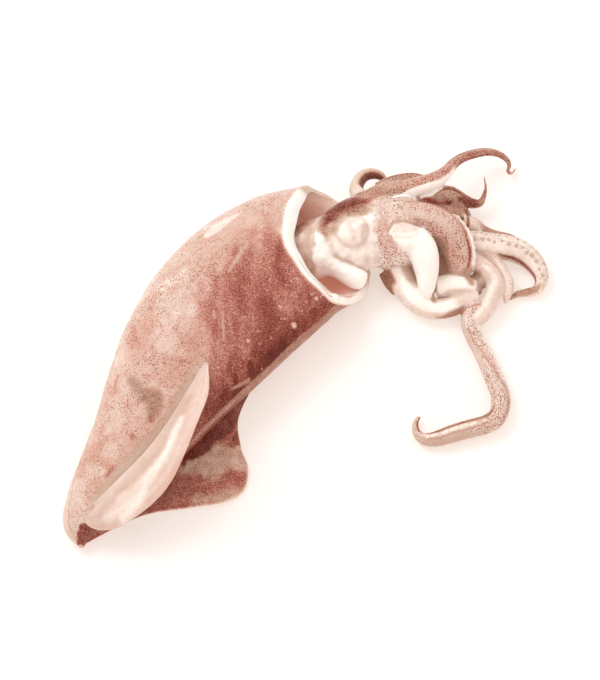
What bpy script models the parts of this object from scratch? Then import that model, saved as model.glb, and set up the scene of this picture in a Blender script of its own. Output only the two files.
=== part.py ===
"""A whole raw squid lying on its side: mantle, two fins, head, funnel, eight arms and two tentacles.

The animal is one piece, so everything is united into one closed solid, `squid`. It lies on the plane
z = 0 with its tail towards -X and -Y and its arms towards +X and +Y. The control points below are in
millimetres; the model is in metres, with its origin under the middle of its bounding box.
"""

import math

import bmesh
import bpy
from mathutils import Vector

MM = 0.001
ORIGIN = (6.3, -3.0)  # where the model's origin lies in the plan that the control points use

# Mantle: stations from the tail to the mouth, each (x, y, z) of the centre, half width, half height.
MANTLE_STATIONS = [
    (-104, -110, 5.0, 1.5, 2.5),
    (-104, -101, 7.5, 9.3, 8.0),
    (-98, -91, 10.0, 14.5, 10.5),
    (-89, -77, 12.5, 19.0, 13.0),
    (-77, -56, 15.5, 24.0, 16.0),
    (-65, -35, 17.5, 30.0, 18.5),
    (-52.5, -14, 18.5, 36.0, 20.0),
    (-37, 7, 19.0, 39.2, 21.0),
    (-22, 23, 19.0, 40.0, 21.0),
    (-6, 35, 19.0, 38.5, 21.0),
    (11.5, 43.5, 18.5, 34.5, 20.0),
    (33, 52, 16.5, 33.0, 18.5),
]
MOUTH_STATION = 10  # the mouth's rim is measured from this station
# How far the rim lies in front of that station, for every 45 degrees round the wall.
RIM_OFFSETS = [6.0, -4.5, -20.5, -18.0, -2.0, 15.0, 19.0, 20.0]
RIM_SLANT = (2.0, 3.0)  # how far the cut's inner edge lies in front of its outer one: all round, more on top
WALL = 4.2
CAVITY_DEPTH = 34.0  # from the mouth station to where the cavity starts to close
CAVITY_END_LENGTH = 10.0
MANTLE_SIDES = 36
MANTLE_RINGS = 30
CAVITY_RINGS = 8
CAVITY_END_RINGS = 3

# Fins: a line along the mantle where the fin grows, and its free edge, both from front to tail.
FIN_THICKNESS = 2.8
NEAR_FIN_ROOT = [
    (-45, -25, 34), (-52, -39, 32), (-62, -57, 29), (-72, -70, 26), (-85, -83, 22.5), (-96, -93, 18),
    (-102, -100, 15),
]
NEAR_FIN_EDGE = [
    (-44, -29, 35), (-43, -39, 39), (-44, -49, 41), (-48, -62, 40), (-53, -74, 37), (-60, -87, 31),
    (-68, -95, 25), (-77, -101, 20), (-86, -105, 15.5), (-93.5, -105.5, 14), (-99, -104, 14.5),
    (-102, -101, 15),
]
FAR_FIN_ROOT = [
    (-21, -16, 12), (-31, -31, 10), (-43, -47, 9), (-57, -62, 8), (-72, -76, 7), (-88, -89, 6),
    (-101, -104, 5),
]
FAR_FIN_EDGE = [
    (-22, -25, 5), (-28, -37, 3), (-31, -49, 2), (-29, -60, 2), (-25, -70, 2), (-27, -81, 2),
    (-36, -87, 2), (-53, -90, 2), (-72, -93, 2), (-86, -99, 2), (-98, -106, 3), (-104, -110, 4),
]
FIN_ALONG = 26
FIN_ACROSS = 5

# Round forms: centre, half sizes, heading in degrees.
NECK = [(-22, 26, 18, 14), (-6, 35, 18, 14.5), (10, 43, 18, 15), (24, 48, 18, 16)]
HEAD = ((30, 50.5, 18.5), (24, 19, 18), 25)
CROWN = ((46, 52, 18.5), (20, 20.5, 16.5), 0)
EYES = [((27, 46, 27.5), 8.2), ((27, 50, 9), 8.2)]
FUNNEL = [
    (9, 34, 19, 3.6), (13.5, 32, 19.5, 4.5), (19, 30.5, 18.5, 5), (24, 29, 17, 6), (28.5, 27.5, 15.5, 6.4),
    (31.5, 27, 14, 5.4),
]

# Arms and tentacles: (x, y, z, radius) from the crown to the tip.
ARMS = {
    "hooked_arm": [
        (34, 64, 25, 6.5), (43, 69, 26, 6), (52, 71, 26, 5.3), (60, 74, 25, 4.9), (68, 78, 23.5, 4.4),
        (74, 84, 21, 3.4), (78, 90, 19, 2.8), (83, 95, 17, 2.5), (90, 99, 14.5, 2.4), (97, 101.5, 12, 2.1),
        (103, 101.5, 9.5, 1.7), (107, 99.5, 7.5, 1.4), (108.5, 97, 6, 1.1), (107.5, 94.5, 4.5, 0.9),
        (109, 93, 4, 0.75), (111, 95, 3.5, 0.55), (112, 97, 3.2, 0.4),
    ],
    "curled_arm": [
        (31, 71, 17, 4.6), (29, 78, 14, 4), (30, 83, 13, 3.7), (33, 87, 12.5, 3.4), (37, 88.5, 12, 3),
        (41, 88, 11, 2.5), (43, 86.5, 9.5, 1.8), (43, 85, 8, 1.1),
    ],
    "back_arm": [
        (41, 74, 19, 5.5), (46, 77.5, 18.5, 5), (51, 80, 18, 4.4), (57, 82, 17, 3.8), (62, 83, 15, 3),
        (67, 85, 12, 1.6),
    ],
    "pointed_arm": [
        (60, 70, 18, 6), (65, 71.5, 18, 5.2), (71, 73, 17, 4.7), (76, 74.5, 15, 4.3), (80, 74, 13, 3.8),
        (85, 73, 10.5, 3.1), (89.5, 73, 8.5, 2.5), (92.5, 74, 8, 1.9), (94, 76.5, 9, 1.3),
        (95, 80, 12, 0.85), (94.5, 83, 14, 0.55), (94, 86, 16, 0.3),
    ],
    "folded_arm": [(76, 70, 13, 4), (81, 68.5, 11, 3.6), (84, 66, 9, 3.2), (85, 63, 7, 2.7), (85.5, 60, 5.5, 2)],
    "shadow_arm": [
        (83, 62, 9.5, 3.2), (88, 60.5, 9, 3.2), (92.5, 58, 8, 2.8), (98.5, 55.5, 7, 2.7), (107, 54, 6, 2.3),
        (112.5, 51, 4.5, 1.4),
    ],
    "front_arm": [
        (38, 54, 24, 8.6), (50, 55.2, 27, 7.7), (61, 54.8, 27, 7.7), (70, 52, 24.5, 7.9), (76, 46.8, 20, 7.9),
        (79, 40, 15.5, 7.4), (79, 34, 11, 6), (77, 29, 7, 4),
    ],
    "white_arm": [
        (45, 47, 27, 3), (48.5, 44.5, 28.5, 5.2), (53, 42.5, 28.5, 6.6), (57.5, 41.5, 27.5, 7.2),
        (60.5, 38.5, 25.5, 7.4), (62, 34, 23.5, 7.1), (63, 29, 20.5, 6.1), (63, 24.5, 17.5, 5),
        (63, 21, 15, 4.1), (63, 18, 12, 2),
    ],
    "white_arm_tip": [
        (68.5, 29, 12, 1.5), (68.5, 25.5, 11.5, 1.4), (66.5, 22.5, 11, 1.3), (65.5, 19.5, 10.5, 1.5),
        (66.5, 16.5, 10.5, 1.3), (68, 14.5, 10, 0.8),
    ],
    "inner_arm": [
        (68, 25, 9.5, 4.8), (74, 26, 9.5, 5.4), (80, 26, 9, 5.4), (85, 25.7, 8, 4.8), (88.5, 25, 6, 3.4),
        (91, 24.5, 4, 1.4),
    ],
    "looped_tentacle": [
        (48, 40, 12, 7.4), (51, 30, 10, 7), (55.5, 22, 7.5, 6.4), (62, 16, 6.3, 5.7), (69, 14.5, 5.8, 5.3),
        (76, 16, 5.6, 5.2), (83, 19.5, 5.4, 5), (89, 21.5, 5.2, 4.8),
    ],
    "right_arm": [
        (70, 48.5, 15, 7), (79, 49.5, 12, 6.2), (86, 49.5, 10, 5.7), (92.5, 49, 9.5, 5.6), (98, 48.3, 9, 5.8),
        (104, 47.5, 8.2, 6.1), (110.5, 45.8, 7.2, 6), (116, 42.3, 6.2, 5.4), (119.7, 37.8, 5.4, 4.6),
        (121.7, 33, 4.4, 3.7), (121.2, 28.8, 3.6, 3), (118.5, 26, 3.2, 2.5), (114, 25, 2.8, 2.2),
        (109, 24, 2.3, 1.7), (105.5, 21.7, 1.4, 0.7),
    ],
    "fold": [(43.5, 34, 9, 4.2), (46, 28.5, 7, 3.8), (49, 23.5, 5.2, 2.4)],
    "inner_web": [(73, 52, 12, 4.5), (72, 44, 9, 5), (72.5, 38, 8, 5), (74.5, 32, 7.5, 4)],
    "web": [(78, 23.5, 4.8, 4), (85.5, 27.5, 5, 4.6), (93, 32.5, 5, 4.6), (97, 38.5, 5.5, 4.5)],
    "pale_arm": [
        (76, 43, 11, 6), (84, 41, 10, 4.8), (91, 36.5, 10, 4.7), (95, 32.5, 10, 4.7), (98, 27.5, 9.5, 4.6),
        (96.5, 21.5, 8, 4.5), (93, 14, 6.2, 4.5), (88, 9, 5.2, 4.3), (83, 5, 4.6, 3.6),
    ],
    "dotted_arm": [
        (88, 46, 9, 4), (93.5, 44.5, 9.5, 3), (99.5, 38.5, 9.5, 2.6), (102.5, 33, 8.5, 2.9), (104.5, 27.5, 7, 3),
        (104, 22, 5, 2.2), (103, 18.5, 3.5, 0.7),
    ],
    "long_tentacle": [
        (91, 16, 5.5, 4.2), (87, 14.5, 5.4, 4.4), (85, 11, 5.2, 4.4), (85, 5.5, 5, 4.6), (87.5, -2, 4.8, 4.5),
        (90.5, -8.5, 4.8, 4.6), (94.5, -19.5, 4.8, 4.7), (98, -30.5, 4.9, 4.8), (98.5, -36, 4.8, 4.8),
        (97.5, -41, 4.8, 4.7), (95, -45, 4.8, 4.7), (91, -47.5, 4.7, 4.6), (86, -49, 4.6, 4.6),
        (78.5, -51, 4.5, 4.5), (71, -53.5, 4.3, 4.2), (66, -55, 4, 3.8), (61, -55, 3.5, 3.1),
        (58, -53, 3, 2.4), (56.5, -50, 2.8, 1.9), (56.5, -46.5, 2.8, 1.5), (57.5, -44, 2.8, 1.1),
        (59, -43, 2.8, 0.7),
    ],
    "upper_web": [(60, 65, 17, 3.8), (66, 64, 15.5, 4.5), (72, 64.5, 13.5, 4.6), (77, 65, 12, 4.2), (81, 63, 10, 3.6)],
}
ARM_STEP = 4.0  # distance between rings along an arm
GROUND_SLAB = 30.0  # thickness of the slab that flattens what lies on the table

SKIN = (0.62, 0.30, 0.25)


def clear_scene():
    for item in list(bpy.data.objects):
        bpy.data.objects.remove(item, do_unlink=True)


def new_collection(name):
    collection = bpy.data.collections.new(name)
    bpy.context.scene.collection.children.link(collection)
    return collection


def make_material(name, colour, roughness):
    material = bpy.data.materials.new(name)
    material.use_nodes = True
    shader = material.node_tree.nodes["Principled BSDF"]
    shader.inputs["Base Color"].default_value = (*colour, 1)
    shader.inputs["Roughness"].default_value = roughness
    return material


def spline(points, t):
    """A point at t in 0..1 on a Catmull-Rom curve through points of any number of values."""
    spans = len(points) - 1
    place = min(max(t, 0.0), 1.0) * spans
    i = min(int(place), spans - 1)
    f = place - i
    p1, p2 = points[i], points[i + 1]
    p0 = points[i - 1] if i > 0 else [2 * a - b for a, b in zip(p1, p2)]
    p3 = points[i + 2] if i + 2 <= spans else [2 * b - a for a, b in zip(p1, p2)]
    return [
        0.5 * (2 * b + (c - a) * f + (2 * a - 5 * b + 4 * c - d) * f * f
               + (3 * b - a - 3 * c + d) * f ** 3)
        for a, b, c, d in zip(p0, p1, p2, p3)
    ]


def evenly(points, step):
    """Values along the curve through points, about one step apart."""
    fine = [spline(points, i / 400) for i in range(401)]
    travelled = [0.0]
    for a, b in zip(fine, fine[1:]):
        travelled.append(travelled[-1] + math.dist(a[:3], b[:3]))
    count = max(2, round(travelled[-1] / step))
    result, i = [], 0
    for k in range(count + 1):
        target = travelled[-1] * k / count
        while i < 399 and travelled[i + 1] < target:
            i += 1
        result.append(fine[i + 1] if k == count else fine[i])
    return result


def world(x, y, z):
    return Vector(((x - ORIGIN[0]) * MM, (y - ORIGIN[1]) * MM, z * MM))


def mesh_object(name, points, faces, collection):
    mesh = bpy.data.meshes.new(name)
    mesh.from_pydata(points, [], faces)
    item = bpy.data.objects.new(name, mesh)
    collection.objects.link(item)
    return item


# ------------------------------------------------------------------------------------------ mantle


class MantlePath:
    """The mantle's centre line, addressed by its length in millimetres from the tail."""

    def __init__(self):
        self.fine = [spline(MANTLE_STATIONS, i / 600) for i in range(601)]
        self.length = [0.0]
        for a, b in zip(self.fine, self.fine[1:]):
            self.length.append(self.length[-1] + math.dist(a[:2], b[:2]))
        self.mouth = self.length[round(600 * MOUTH_STATION / (len(MANTLE_STATIONS) - 1))]

    def at(self, distance):
        i = 0
        while i < 599 and self.length[i + 1] < distance:
            i += 1
        a, b = self.fine[i], self.fine[i + 1]
        f = (distance - self.length[i]) / (self.length[i + 1] - self.length[i])
        values = [p + (q - p) * f for p, q in zip(a, b)]
        heading = math.atan2(b[1] - a[1], b[0] - a[0])
        return values, heading

    def wall_point(self, distance, angle, inset=0.0, shrink=1.0):
        """A point of the wall. Angle 0 faces the back, 90 degrees is the top; inset goes inwards."""
        (x, y, z, half_width, half_height), heading = self.at(distance)
        side = max(half_width - inset, 0.4) * shrink * math.cos(angle)
        height = z + max(half_height - inset, 0.4) * shrink * math.sin(angle)
        return world(x - side * math.sin(heading), y + side * math.cos(heading), max(height, inset))


def rim_offset(angle):
    """The rim's place along the mantle: a closed Catmull-Rom curve through RIM_OFFSETS."""
    count = len(RIM_OFFSETS)
    place = angle / (2 * math.pi) * count
    i = int(place)
    a, b, c, d = (RIM_OFFSETS[(i + k - 1) % count] for k in range(4))
    f = place - i
    return 0.5 * (2 * b + (c - a) * f + (2 * a - 5 * b + 4 * c - d) * f * f
                  + (3 * b - a - 3 * c + d) * f ** 3)


def cut_slant(angle):
    return RIM_SLANT[0] + RIM_SLANT[1] * max(math.sin(angle), 0)


def make_mantle(collection):
    """The outer wall, the rim's band and the cavity's wall as one closed loft."""
    path = MantlePath()
    angles = [2 * math.pi * k / MANTLE_SIDES for k in range(MANTLE_SIDES)]
    rings = []
    for i in range(MANTLE_RINGS + 1):
        f = (i / MANTLE_RINGS) ** 1.15
        rings.append([path.wall_point(f * (path.mouth + rim_offset(a)), a, 0) for a in angles])
    for i in range(CAVITY_RINGS + 1):
        f = i / CAVITY_RINGS
        rings.append([
            path.wall_point(
                path.mouth + (rim_offset(a) + cut_slant(a)) * (1 - f) - CAVITY_DEPTH * f, a, WALL)
            for a in angles
        ])
    for i in range(1, CAVITY_END_RINGS + 1):
        turn = 0.5 * math.pi * i / (CAVITY_END_RINGS + 0.5)
        depth = CAVITY_DEPTH + CAVITY_END_LENGTH * math.sin(turn)
        rings.append([path.wall_point(path.mouth - depth, a, WALL, math.cos(turn)) for a in angles])
    points = [p for ring in rings for p in ring]
    tail = len(points)
    points.append(sum(rings[0], Vector()) / MANTLE_SIDES)
    points.append(sum(rings[-1], Vector()) / MANTLE_SIDES)
    faces = []
    for i in range(len(rings) - 1):
        for k in range(MANTLE_SIDES):
            n = (k + 1) % MANTLE_SIDES
            a, b = i * MANTLE_SIDES, (i + 1) * MANTLE_SIDES
            faces.append((a + k, b + k, b + n, a + n))
    last = (len(rings) - 1) * MANTLE_SIDES
    for k in range(MANTLE_SIDES):
        n = (k + 1) % MANTLE_SIDES
        faces.append((tail, k, n))
        faces.append((tail + 1, last + n, last + k))
    return mesh_object("squid", points, faces, collection)


# -------------------------------------------------------------------------------------------- fins


def make_fin(name, root, edge, lift, collection):
    """A sheet from the root line to the free edge, bowed by lift, thickened with Solidify."""
    points, faces = [], []
    for i in range(FIN_ALONG + 1):
        t = i / FIN_ALONG
        a, b = spline(root, t), spline(edge, t)
        for k in range(FIN_ACROSS + 1):
            f = k / FIN_ACROSS
            bow = lift * math.sin(math.pi * f) * math.sin(math.pi * t)
            points.append(world(a[0] + (b[0] - a[0]) * f, a[1] + (b[1] - a[1]) * f,
                                a[2] + (b[2] - a[2]) * f + bow))
    row = FIN_ACROSS + 1
    for i in range(FIN_ALONG):
        for k in range(FIN_ACROSS):
            a = i * row + k
            faces.append((a, a + 1, a + row + 1, a + row))
    fin = mesh_object(name, points, faces, collection)
    solid = fin.modifiers.new("thickness", "SOLIDIFY")
    solid.thickness = FIN_THICKNESS * MM
    solid.offset = 0
    return fin


# ------------------------------------------------------------------------------- head and its parts


def make_tube(name, points, step, collection, sides_setting=2):
    """A limb: a curve with a round section whose radius follows the points, made into a mesh."""
    curve = bpy.data.curves.new(name, "CURVE")
    curve.dimensions = "3D"
    curve.bevel_depth = MM
    curve.bevel_resolution = sides_setting
    curve.use_fill_caps = True
    line = curve.splines.new("POLY")
    stations = evenly(points, step)
    line.points.add(len(stations) - 1)
    for target, (x, y, z, radius) in zip(line.points, stations):
        target.co = (*world(x, y, z), 1)
        target.radius = radius
    draft = bpy.data.objects.new(name + "_curve", curve)
    collection.objects.link(draft)
    bpy.context.view_layer.update()
    evaluated = draft.evaluated_get(bpy.context.evaluated_depsgraph_get())
    mesh = bpy.data.meshes.new_from_object(evaluated)
    bpy.data.objects.remove(draft, do_unlink=True)
    work = bmesh.new()
    work.from_mesh(mesh)
    bmesh.ops.remove_doubles(work, verts=work.verts, dist=0.01 * MM)
    bmesh.ops.recalc_face_normals(work, faces=work.faces)
    work.to_mesh(mesh)
    work.free()
    limb = bpy.data.objects.new(name, mesh)
    collection.objects.link(limb)
    return limb


def make_ellipsoid(name, centre, half_sizes, heading, collection, segments=20, rings=12):
    mesh = bpy.data.meshes.new(name)
    work = bmesh.new()
    bmesh.ops.create_uvsphere(work, u_segments=segments, v_segments=rings, radius=1)
    work.to_mesh(mesh)
    work.free()
    item = bpy.data.objects.new(name, mesh)
    item.location = world(*centre)
    item.scale = [size * MM for size in half_sizes]
    item.rotation_euler = (0, 0, math.radians(heading))
    collection.objects.link(item)
    return item


def make_slab(collection):
    mesh = bpy.data.meshes.new("table")
    work = bmesh.new()
    bmesh.ops.create_cube(work, size=1)
    work.to_mesh(mesh)
    work.free()
    slab = bpy.data.objects.new("table", mesh)
    slab.scale = (0.5, 0.5, GROUND_SLAB * MM)
    slab.location = (0, 0, -GROUND_SLAB * MM / 2)
    collection.objects.link(slab)
    return slab


def hide_helper(item):
    item.hide_render = True
    item.display_type = "WIRE"


def main():
    clear_scene()
    model = new_collection("raw_squid")
    united = new_collection("united_forms")
    cutters = new_collection("cutters")
    squid = make_mantle(model)
    squid.data.materials.append(make_material("skin", SKIN, 0.3))

    make_fin("near_fin", NEAR_FIN_ROOT, NEAR_FIN_EDGE, 2.0, united)
    make_fin("far_fin", FAR_FIN_ROOT, FAR_FIN_EDGE, 0.5, united)
    make_tube("neck", NECK, 8, united, sides_setting=4)
    make_ellipsoid("head", *HEAD, united)
    make_ellipsoid("crown", *CROWN, united)
    for number, (centre, radius) in enumerate(EYES):
        make_ellipsoid(f"eye_{number}", centre, (radius,) * 3, 0, united, 14, 8)
    make_tube("funnel", FUNNEL, 5, united, sides_setting=3)
    for name, points in ARMS.items():
        make_tube(name, points, ARM_STEP, united)
    for item in united.objects:
        hide_helper(item)
    hide_helper(make_slab(cutters))

    join = squid.modifiers.new("unite", "BOOLEAN")
    join.operation = "UNION"
    join.operand_type = "COLLECTION"
    join.collection = united
    join.use_self = True
    flat = squid.modifiers.new("lie_flat", "BOOLEAN")
    flat.operation = "DIFFERENCE"
    flat.operand_type = "COLLECTION"
    flat.collection = cutters


main()
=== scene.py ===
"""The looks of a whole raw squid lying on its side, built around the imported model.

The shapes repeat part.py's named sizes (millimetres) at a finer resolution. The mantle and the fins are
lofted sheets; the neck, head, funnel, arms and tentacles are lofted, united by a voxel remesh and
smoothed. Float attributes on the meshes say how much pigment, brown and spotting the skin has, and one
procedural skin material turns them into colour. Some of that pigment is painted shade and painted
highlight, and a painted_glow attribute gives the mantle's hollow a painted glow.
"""

import math

import bmesh
import bpy
import numpy as np
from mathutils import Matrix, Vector, kdtree

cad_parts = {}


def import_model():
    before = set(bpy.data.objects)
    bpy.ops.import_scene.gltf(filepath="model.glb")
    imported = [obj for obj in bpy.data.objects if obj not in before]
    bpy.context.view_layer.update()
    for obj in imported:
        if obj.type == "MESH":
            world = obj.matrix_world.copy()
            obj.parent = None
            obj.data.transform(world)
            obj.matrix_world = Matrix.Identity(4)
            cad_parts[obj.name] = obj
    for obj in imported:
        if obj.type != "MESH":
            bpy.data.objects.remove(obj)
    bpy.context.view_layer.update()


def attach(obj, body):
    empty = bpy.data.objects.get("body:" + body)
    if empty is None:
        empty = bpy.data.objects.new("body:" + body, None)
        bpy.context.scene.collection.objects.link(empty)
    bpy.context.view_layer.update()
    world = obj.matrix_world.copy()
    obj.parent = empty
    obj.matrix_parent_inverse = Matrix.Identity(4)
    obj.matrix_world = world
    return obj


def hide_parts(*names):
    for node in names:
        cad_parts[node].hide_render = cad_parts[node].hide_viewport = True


MM = 0.001
ORIGIN = np.array([6.3, -3.0, 0.0])  # as in part.py: the plan's point where the model's origin lies

# ---- sizes, as in part.py

MANTLE_STATIONS = [
    (-104, -110, 5.0, 1.5, 2.5),
    (-104, -101, 7.5, 9.3, 8.0),
    (-98, -91, 10.0, 14.5, 10.5),
    (-89, -77, 12.5, 19.0, 13.0),
    (-77, -56, 15.5, 24.0, 16.0),
    (-65, -35, 17.5, 30.0, 18.5),
    (-52.5, -14, 18.5, 36.0, 20.0),
    (-37, 7, 19.0, 39.2, 21.0),
    (-22, 23, 19.0, 40.0, 21.0),
    (-6, 35, 19.0, 38.5, 21.0),
    (11.5, 43.5, 18.5, 34.5, 20.0),
    (33, 52, 16.5, 33.0, 18.5),
]
MOUTH_STATION = 10
RIM_OFFSETS = [6.0, -4.5, -20.5, -18.0, -2.0, 15.0, 19.0, 20.0]
RIM_SLANT = (2.0, 3.0)
WALL = 4.2
CAVITY_DEPTH = 34.0
CAVITY_END_LENGTH = 10.0

NEAR_FIN_ROOT = [
    (-45, -25, 34), (-52, -39, 32), (-62, -57, 29), (-72, -70, 26), (-85, -83, 22.5), (-96, -93, 18),
    (-102, -100, 15),
]
NEAR_FIN_EDGE = [
    (-44, -29, 35), (-43, -39, 39), (-44, -49, 41), (-48, -62, 40), (-53, -74, 37), (-60, -87, 31),
    (-68, -95, 25), (-77, -101, 20), (-86, -105, 15.5), (-93.5, -105.5, 14), (-99, -104, 14.5),
    (-102, -101, 15),
]
FAR_FIN_ROOT = [
    (-21, -16, 12), (-31, -31, 10), (-43, -47, 9), (-57, -62, 8), (-72, -76, 7), (-88, -89, 6),
    (-101, -104, 5),
]
FAR_FIN_EDGE = [
    (-22, -25, 5), (-28, -37, 3), (-31, -49, 2), (-29, -60, 2), (-25, -70, 2), (-27, -81, 2),
    (-36, -87, 2), (-53, -90, 2), (-72, -93, 2), (-86, -99, 2), (-98, -106, 3), (-104, -110, 4),
]

NECK = [(-22, 26, 18, 14), (-6, 35, 18, 14.5), (10, 43, 18, 15), (24, 48, 18, 16)]
HEAD = ((30, 50.5, 18.5), (24, 19, 18), 25)
CROWN = ((46, 52, 18.5), (20, 20.5, 16.5), 0)
EYES = [((27, 46, 27.5), 8.2), ((27, 50, 9), 8.2)]
FUNNEL = [
    (9, 34, 19, 3.6), (13.5, 32, 19.5, 4.5), (19, 30.5, 18.5, 5), (24, 29, 17, 6), (28.5, 27.5, 15.5, 6.4),
    (31.5, 27, 14, 5.4),
]

ARMS = {
    "hooked_arm": [
        (34, 64, 25, 6.5), (43, 69, 26, 6), (52, 71, 26, 5.3), (60, 74, 25, 4.9), (68, 78, 23.5, 4.4),
        (74, 84, 21, 3.4), (78, 90, 19, 2.8), (83, 95, 17, 2.5), (90, 99, 14.5, 2.4), (97, 101.5, 12, 2.1),
        (103, 101.5, 9.5, 1.7), (107, 99.5, 7.5, 1.4), (108.5, 97, 6, 1.1), (107.5, 94.5, 4.5, 0.9),
        (109, 93, 4, 0.75), (111, 95, 3.5, 0.55), (112, 97, 3.2, 0.4),
    ],
    "curled_arm": [
        (31, 71, 17, 4.6), (29, 78, 14, 4), (30, 83, 13, 3.7), (33, 87, 12.5, 3.4), (37, 88.5, 12, 3),
        (41, 88, 11, 2.5), (43, 86.5, 9.5, 1.8), (43, 85, 8, 1.1),
    ],
    "back_arm": [
        (41, 74, 19, 5.5), (46, 77.5, 18.5, 5), (51, 80, 18, 4.4), (57, 82, 17, 3.8), (62, 83, 15, 3),
        (67, 85, 12, 1.6),
    ],
    "pointed_arm": [
        (60, 70, 18, 6), (65, 71.5, 18, 5.2), (71, 73, 17, 4.7), (76, 74.5, 15, 4.3), (80, 74, 13, 3.8),
        (85, 73, 10.5, 3.1), (89.5, 73, 8.5, 2.5), (92.5, 74, 8, 1.9), (94, 76.5, 9, 1.3),
        (95, 80, 12, 0.85), (94.5, 83, 14, 0.55), (94, 86, 16, 0.3),
    ],
    "folded_arm": [
        (76, 70, 13, 4), (81, 68.5, 11, 3.6), (84, 66, 9, 3.2), (85, 63, 7, 2.7), (85.5, 60, 5.5, 2),
    ],
    "shadow_arm": [
        (83, 62, 9.5, 3.2), (88, 60.5, 9, 3.2), (92.5, 58, 8, 2.8), (98.5, 55.5, 7, 2.7), (107, 54, 6, 2.3),
        (112.5, 51, 4.5, 1.4),
    ],
    "front_arm": [
        (38, 54, 24, 8.6), (50, 55.2, 27, 7.7), (61, 54.8, 27, 7.7), (70, 52, 24.5, 7.9), (76, 46.8, 20, 7.9),
        (79, 40, 15.5, 7.4), (79, 34, 11, 6), (77, 29, 7, 4),
    ],
    "white_arm": [
        (45, 47, 27, 3), (48.5, 44.5, 28.5, 5.2), (53, 42.5, 28.5, 6.6), (57.5, 41.5, 27.5, 7.2),
        (60.5, 38.5, 25.5, 7.4), (62, 34, 23.5, 7.1), (63, 29, 20.5, 6.1), (63, 24.5, 17.5, 5),
        (63, 21, 15, 4.1), (63, 18, 12, 2),
    ],
    "white_arm_tip": [
        (68.5, 29, 12, 1.5), (68.5, 25.5, 11.5, 1.4), (66.5, 22.5, 11, 1.3), (65.5, 19.5, 10.5, 1.5),
        (66.5, 16.5, 10.5, 1.3), (68, 14.5, 10, 0.8),
    ],
    "inner_arm": [
        (68, 25, 9.5, 4.8), (74, 26, 9.5, 5.4), (80, 26, 9, 5.4), (85, 25.7, 8, 4.8), (88.5, 25, 6, 3.4),
        (91, 24.5, 4, 1.4),
    ],
    "looped_tentacle": [
        (48, 40, 12, 7.4), (51, 30, 10, 7), (55.5, 22, 7.5, 6.4), (62, 16, 6.3, 5.7), (69, 14.5, 5.8, 5.3),
        (76, 16, 5.6, 5.2), (83, 19.5, 5.4, 5), (89, 21.5, 5.2, 4.8),
    ],
    "right_arm": [
        (70, 48.5, 15, 7), (79, 49.5, 12, 6.2), (86, 49.5, 10, 5.7), (92.5, 49, 9.5, 5.6), (98, 48.3, 9, 5.8),
        (104, 47.5, 8.2, 6.1), (110.5, 45.8, 7.2, 6), (116, 42.3, 6.2, 5.4), (119.7, 37.8, 5.4, 4.6),
        (121.7, 33, 4.4, 3.7), (121.2, 28.8, 3.6, 3), (118.5, 26, 3.2, 2.5), (114, 25, 2.8, 2.2),
        (109, 24, 2.3, 1.7), (105.5, 21.7, 1.4, 0.7),
    ],
    # fold: a dark web that stands for the shade under the head, between it and the looped tentacle: painted
    # shade
    "fold": [(43.5, 34, 9, 4.2), (46, 28.5, 7, 3.8), (49, 23.5, 5.2, 2.4)],
    "inner_web": [(73, 52, 12, 4.5), (72, 44, 9, 5), (72.5, 38, 8, 5), (74.5, 32, 7.5, 4)],
    "web": [(78, 23.5, 4.8, 4), (85.5, 27.5, 5, 4.6), (93, 32.5, 5, 4.6), (97, 38.5, 5.5, 4.5)],
    "pale_arm": [
        (76, 43, 11, 6), (84, 41, 10, 4.8), (91, 36.5, 10, 4.7), (95, 32.5, 10, 4.7), (98, 27.5, 9.5, 4.6),
        (96.5, 21.5, 8, 4.5), (93, 14, 6.2, 4.5), (88, 9, 5.2, 4.3), (83, 5, 4.6, 3.6),
    ],
    "dotted_arm": [
        (88, 46, 9, 4), (93.5, 44.5, 9.5, 3), (99.5, 38.5, 9.5, 2.6), (102.5, 33, 8.5, 2.9),
        (104.5, 27.5, 7, 3), (104, 22, 5, 2.2), (103, 18.5, 3.5, 0.7),
    ],
    "long_tentacle": [
        (91, 16, 5.5, 4.2), (87, 14.5, 5.4, 4.4), (85, 11, 5.2, 4.4), (85, 5.5, 5, 4.6), (87.5, -2, 4.8, 4.5),
        (90.5, -8.5, 4.8, 4.6), (94.5, -19.5, 4.8, 4.7), (98, -30.5, 4.9, 4.8), (98.5, -36, 4.8, 4.8),
        (97.5, -41, 4.8, 4.7), (95, -45, 4.8, 4.7), (91, -47.5, 4.7, 4.6), (86, -49, 4.6, 4.6),
        (78.5, -51, 4.5, 4.5), (71, -53.5, 4.3, 4.2), (66, -55, 4, 3.8), (61, -55, 3.5, 3.1),
        (58, -53, 3, 2.4), (56.5, -50, 2.8, 1.9), (56.5, -46.5, 2.8, 1.5), (57.5, -44, 2.8, 1.1),
        (59, -43, 2.8, 0.7),
    ],
    "upper_web": [
        (60, 65, 17, 3.8), (66, 64, 15.5, 4.5), (72, 64.5, 13.5, 4.6), (77, 65, 12, 4.2), (81, 63, 10, 3.6),
    ],
}

# ---- fine detail

MANTLE_AROUND = 320
MANTLE_ALONG = 225
RIM_ROWS = 14
CAVITY_ROWS = 34
CAVITY_END_ROWS = 6
FIN_ALONG = 260
FIN_ACROSS = 56
FIN_ROOT_THICKNESS = 2.6
FIN_EDGE_THICKNESS = 1.0
LIMB_AROUND = 72
LIMB_STEP = 0.6  # between the rings along a limb
SUCKER_STEP = 0.25  # the same where suckers look for their places
SUCKER_AROUND = 12
VOXEL = 0.64  # cells of the remesh that unites the head and the limbs
SMOOTHING_PASSES = 4
HEAD_BLEND_PASSES = 46
MASK_BLEND_PASSES = 14
HEAD_ZONE = [(-4, 36), (28, 49), (38, 53)]  # where the forms of neck, head and crown melt together
HEAD_ZONE_WIDTHS = [14, 20, 13]

# What each point of a mesh says of its skin: pigment from 0 white to 1 dark, brown from 0 red to 1 brown,
# how dotted it is, how much pale specks show, and how far the skin is bare white.
MASKS = ("pigment", "brown", "spots", "specks", "white")

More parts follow.
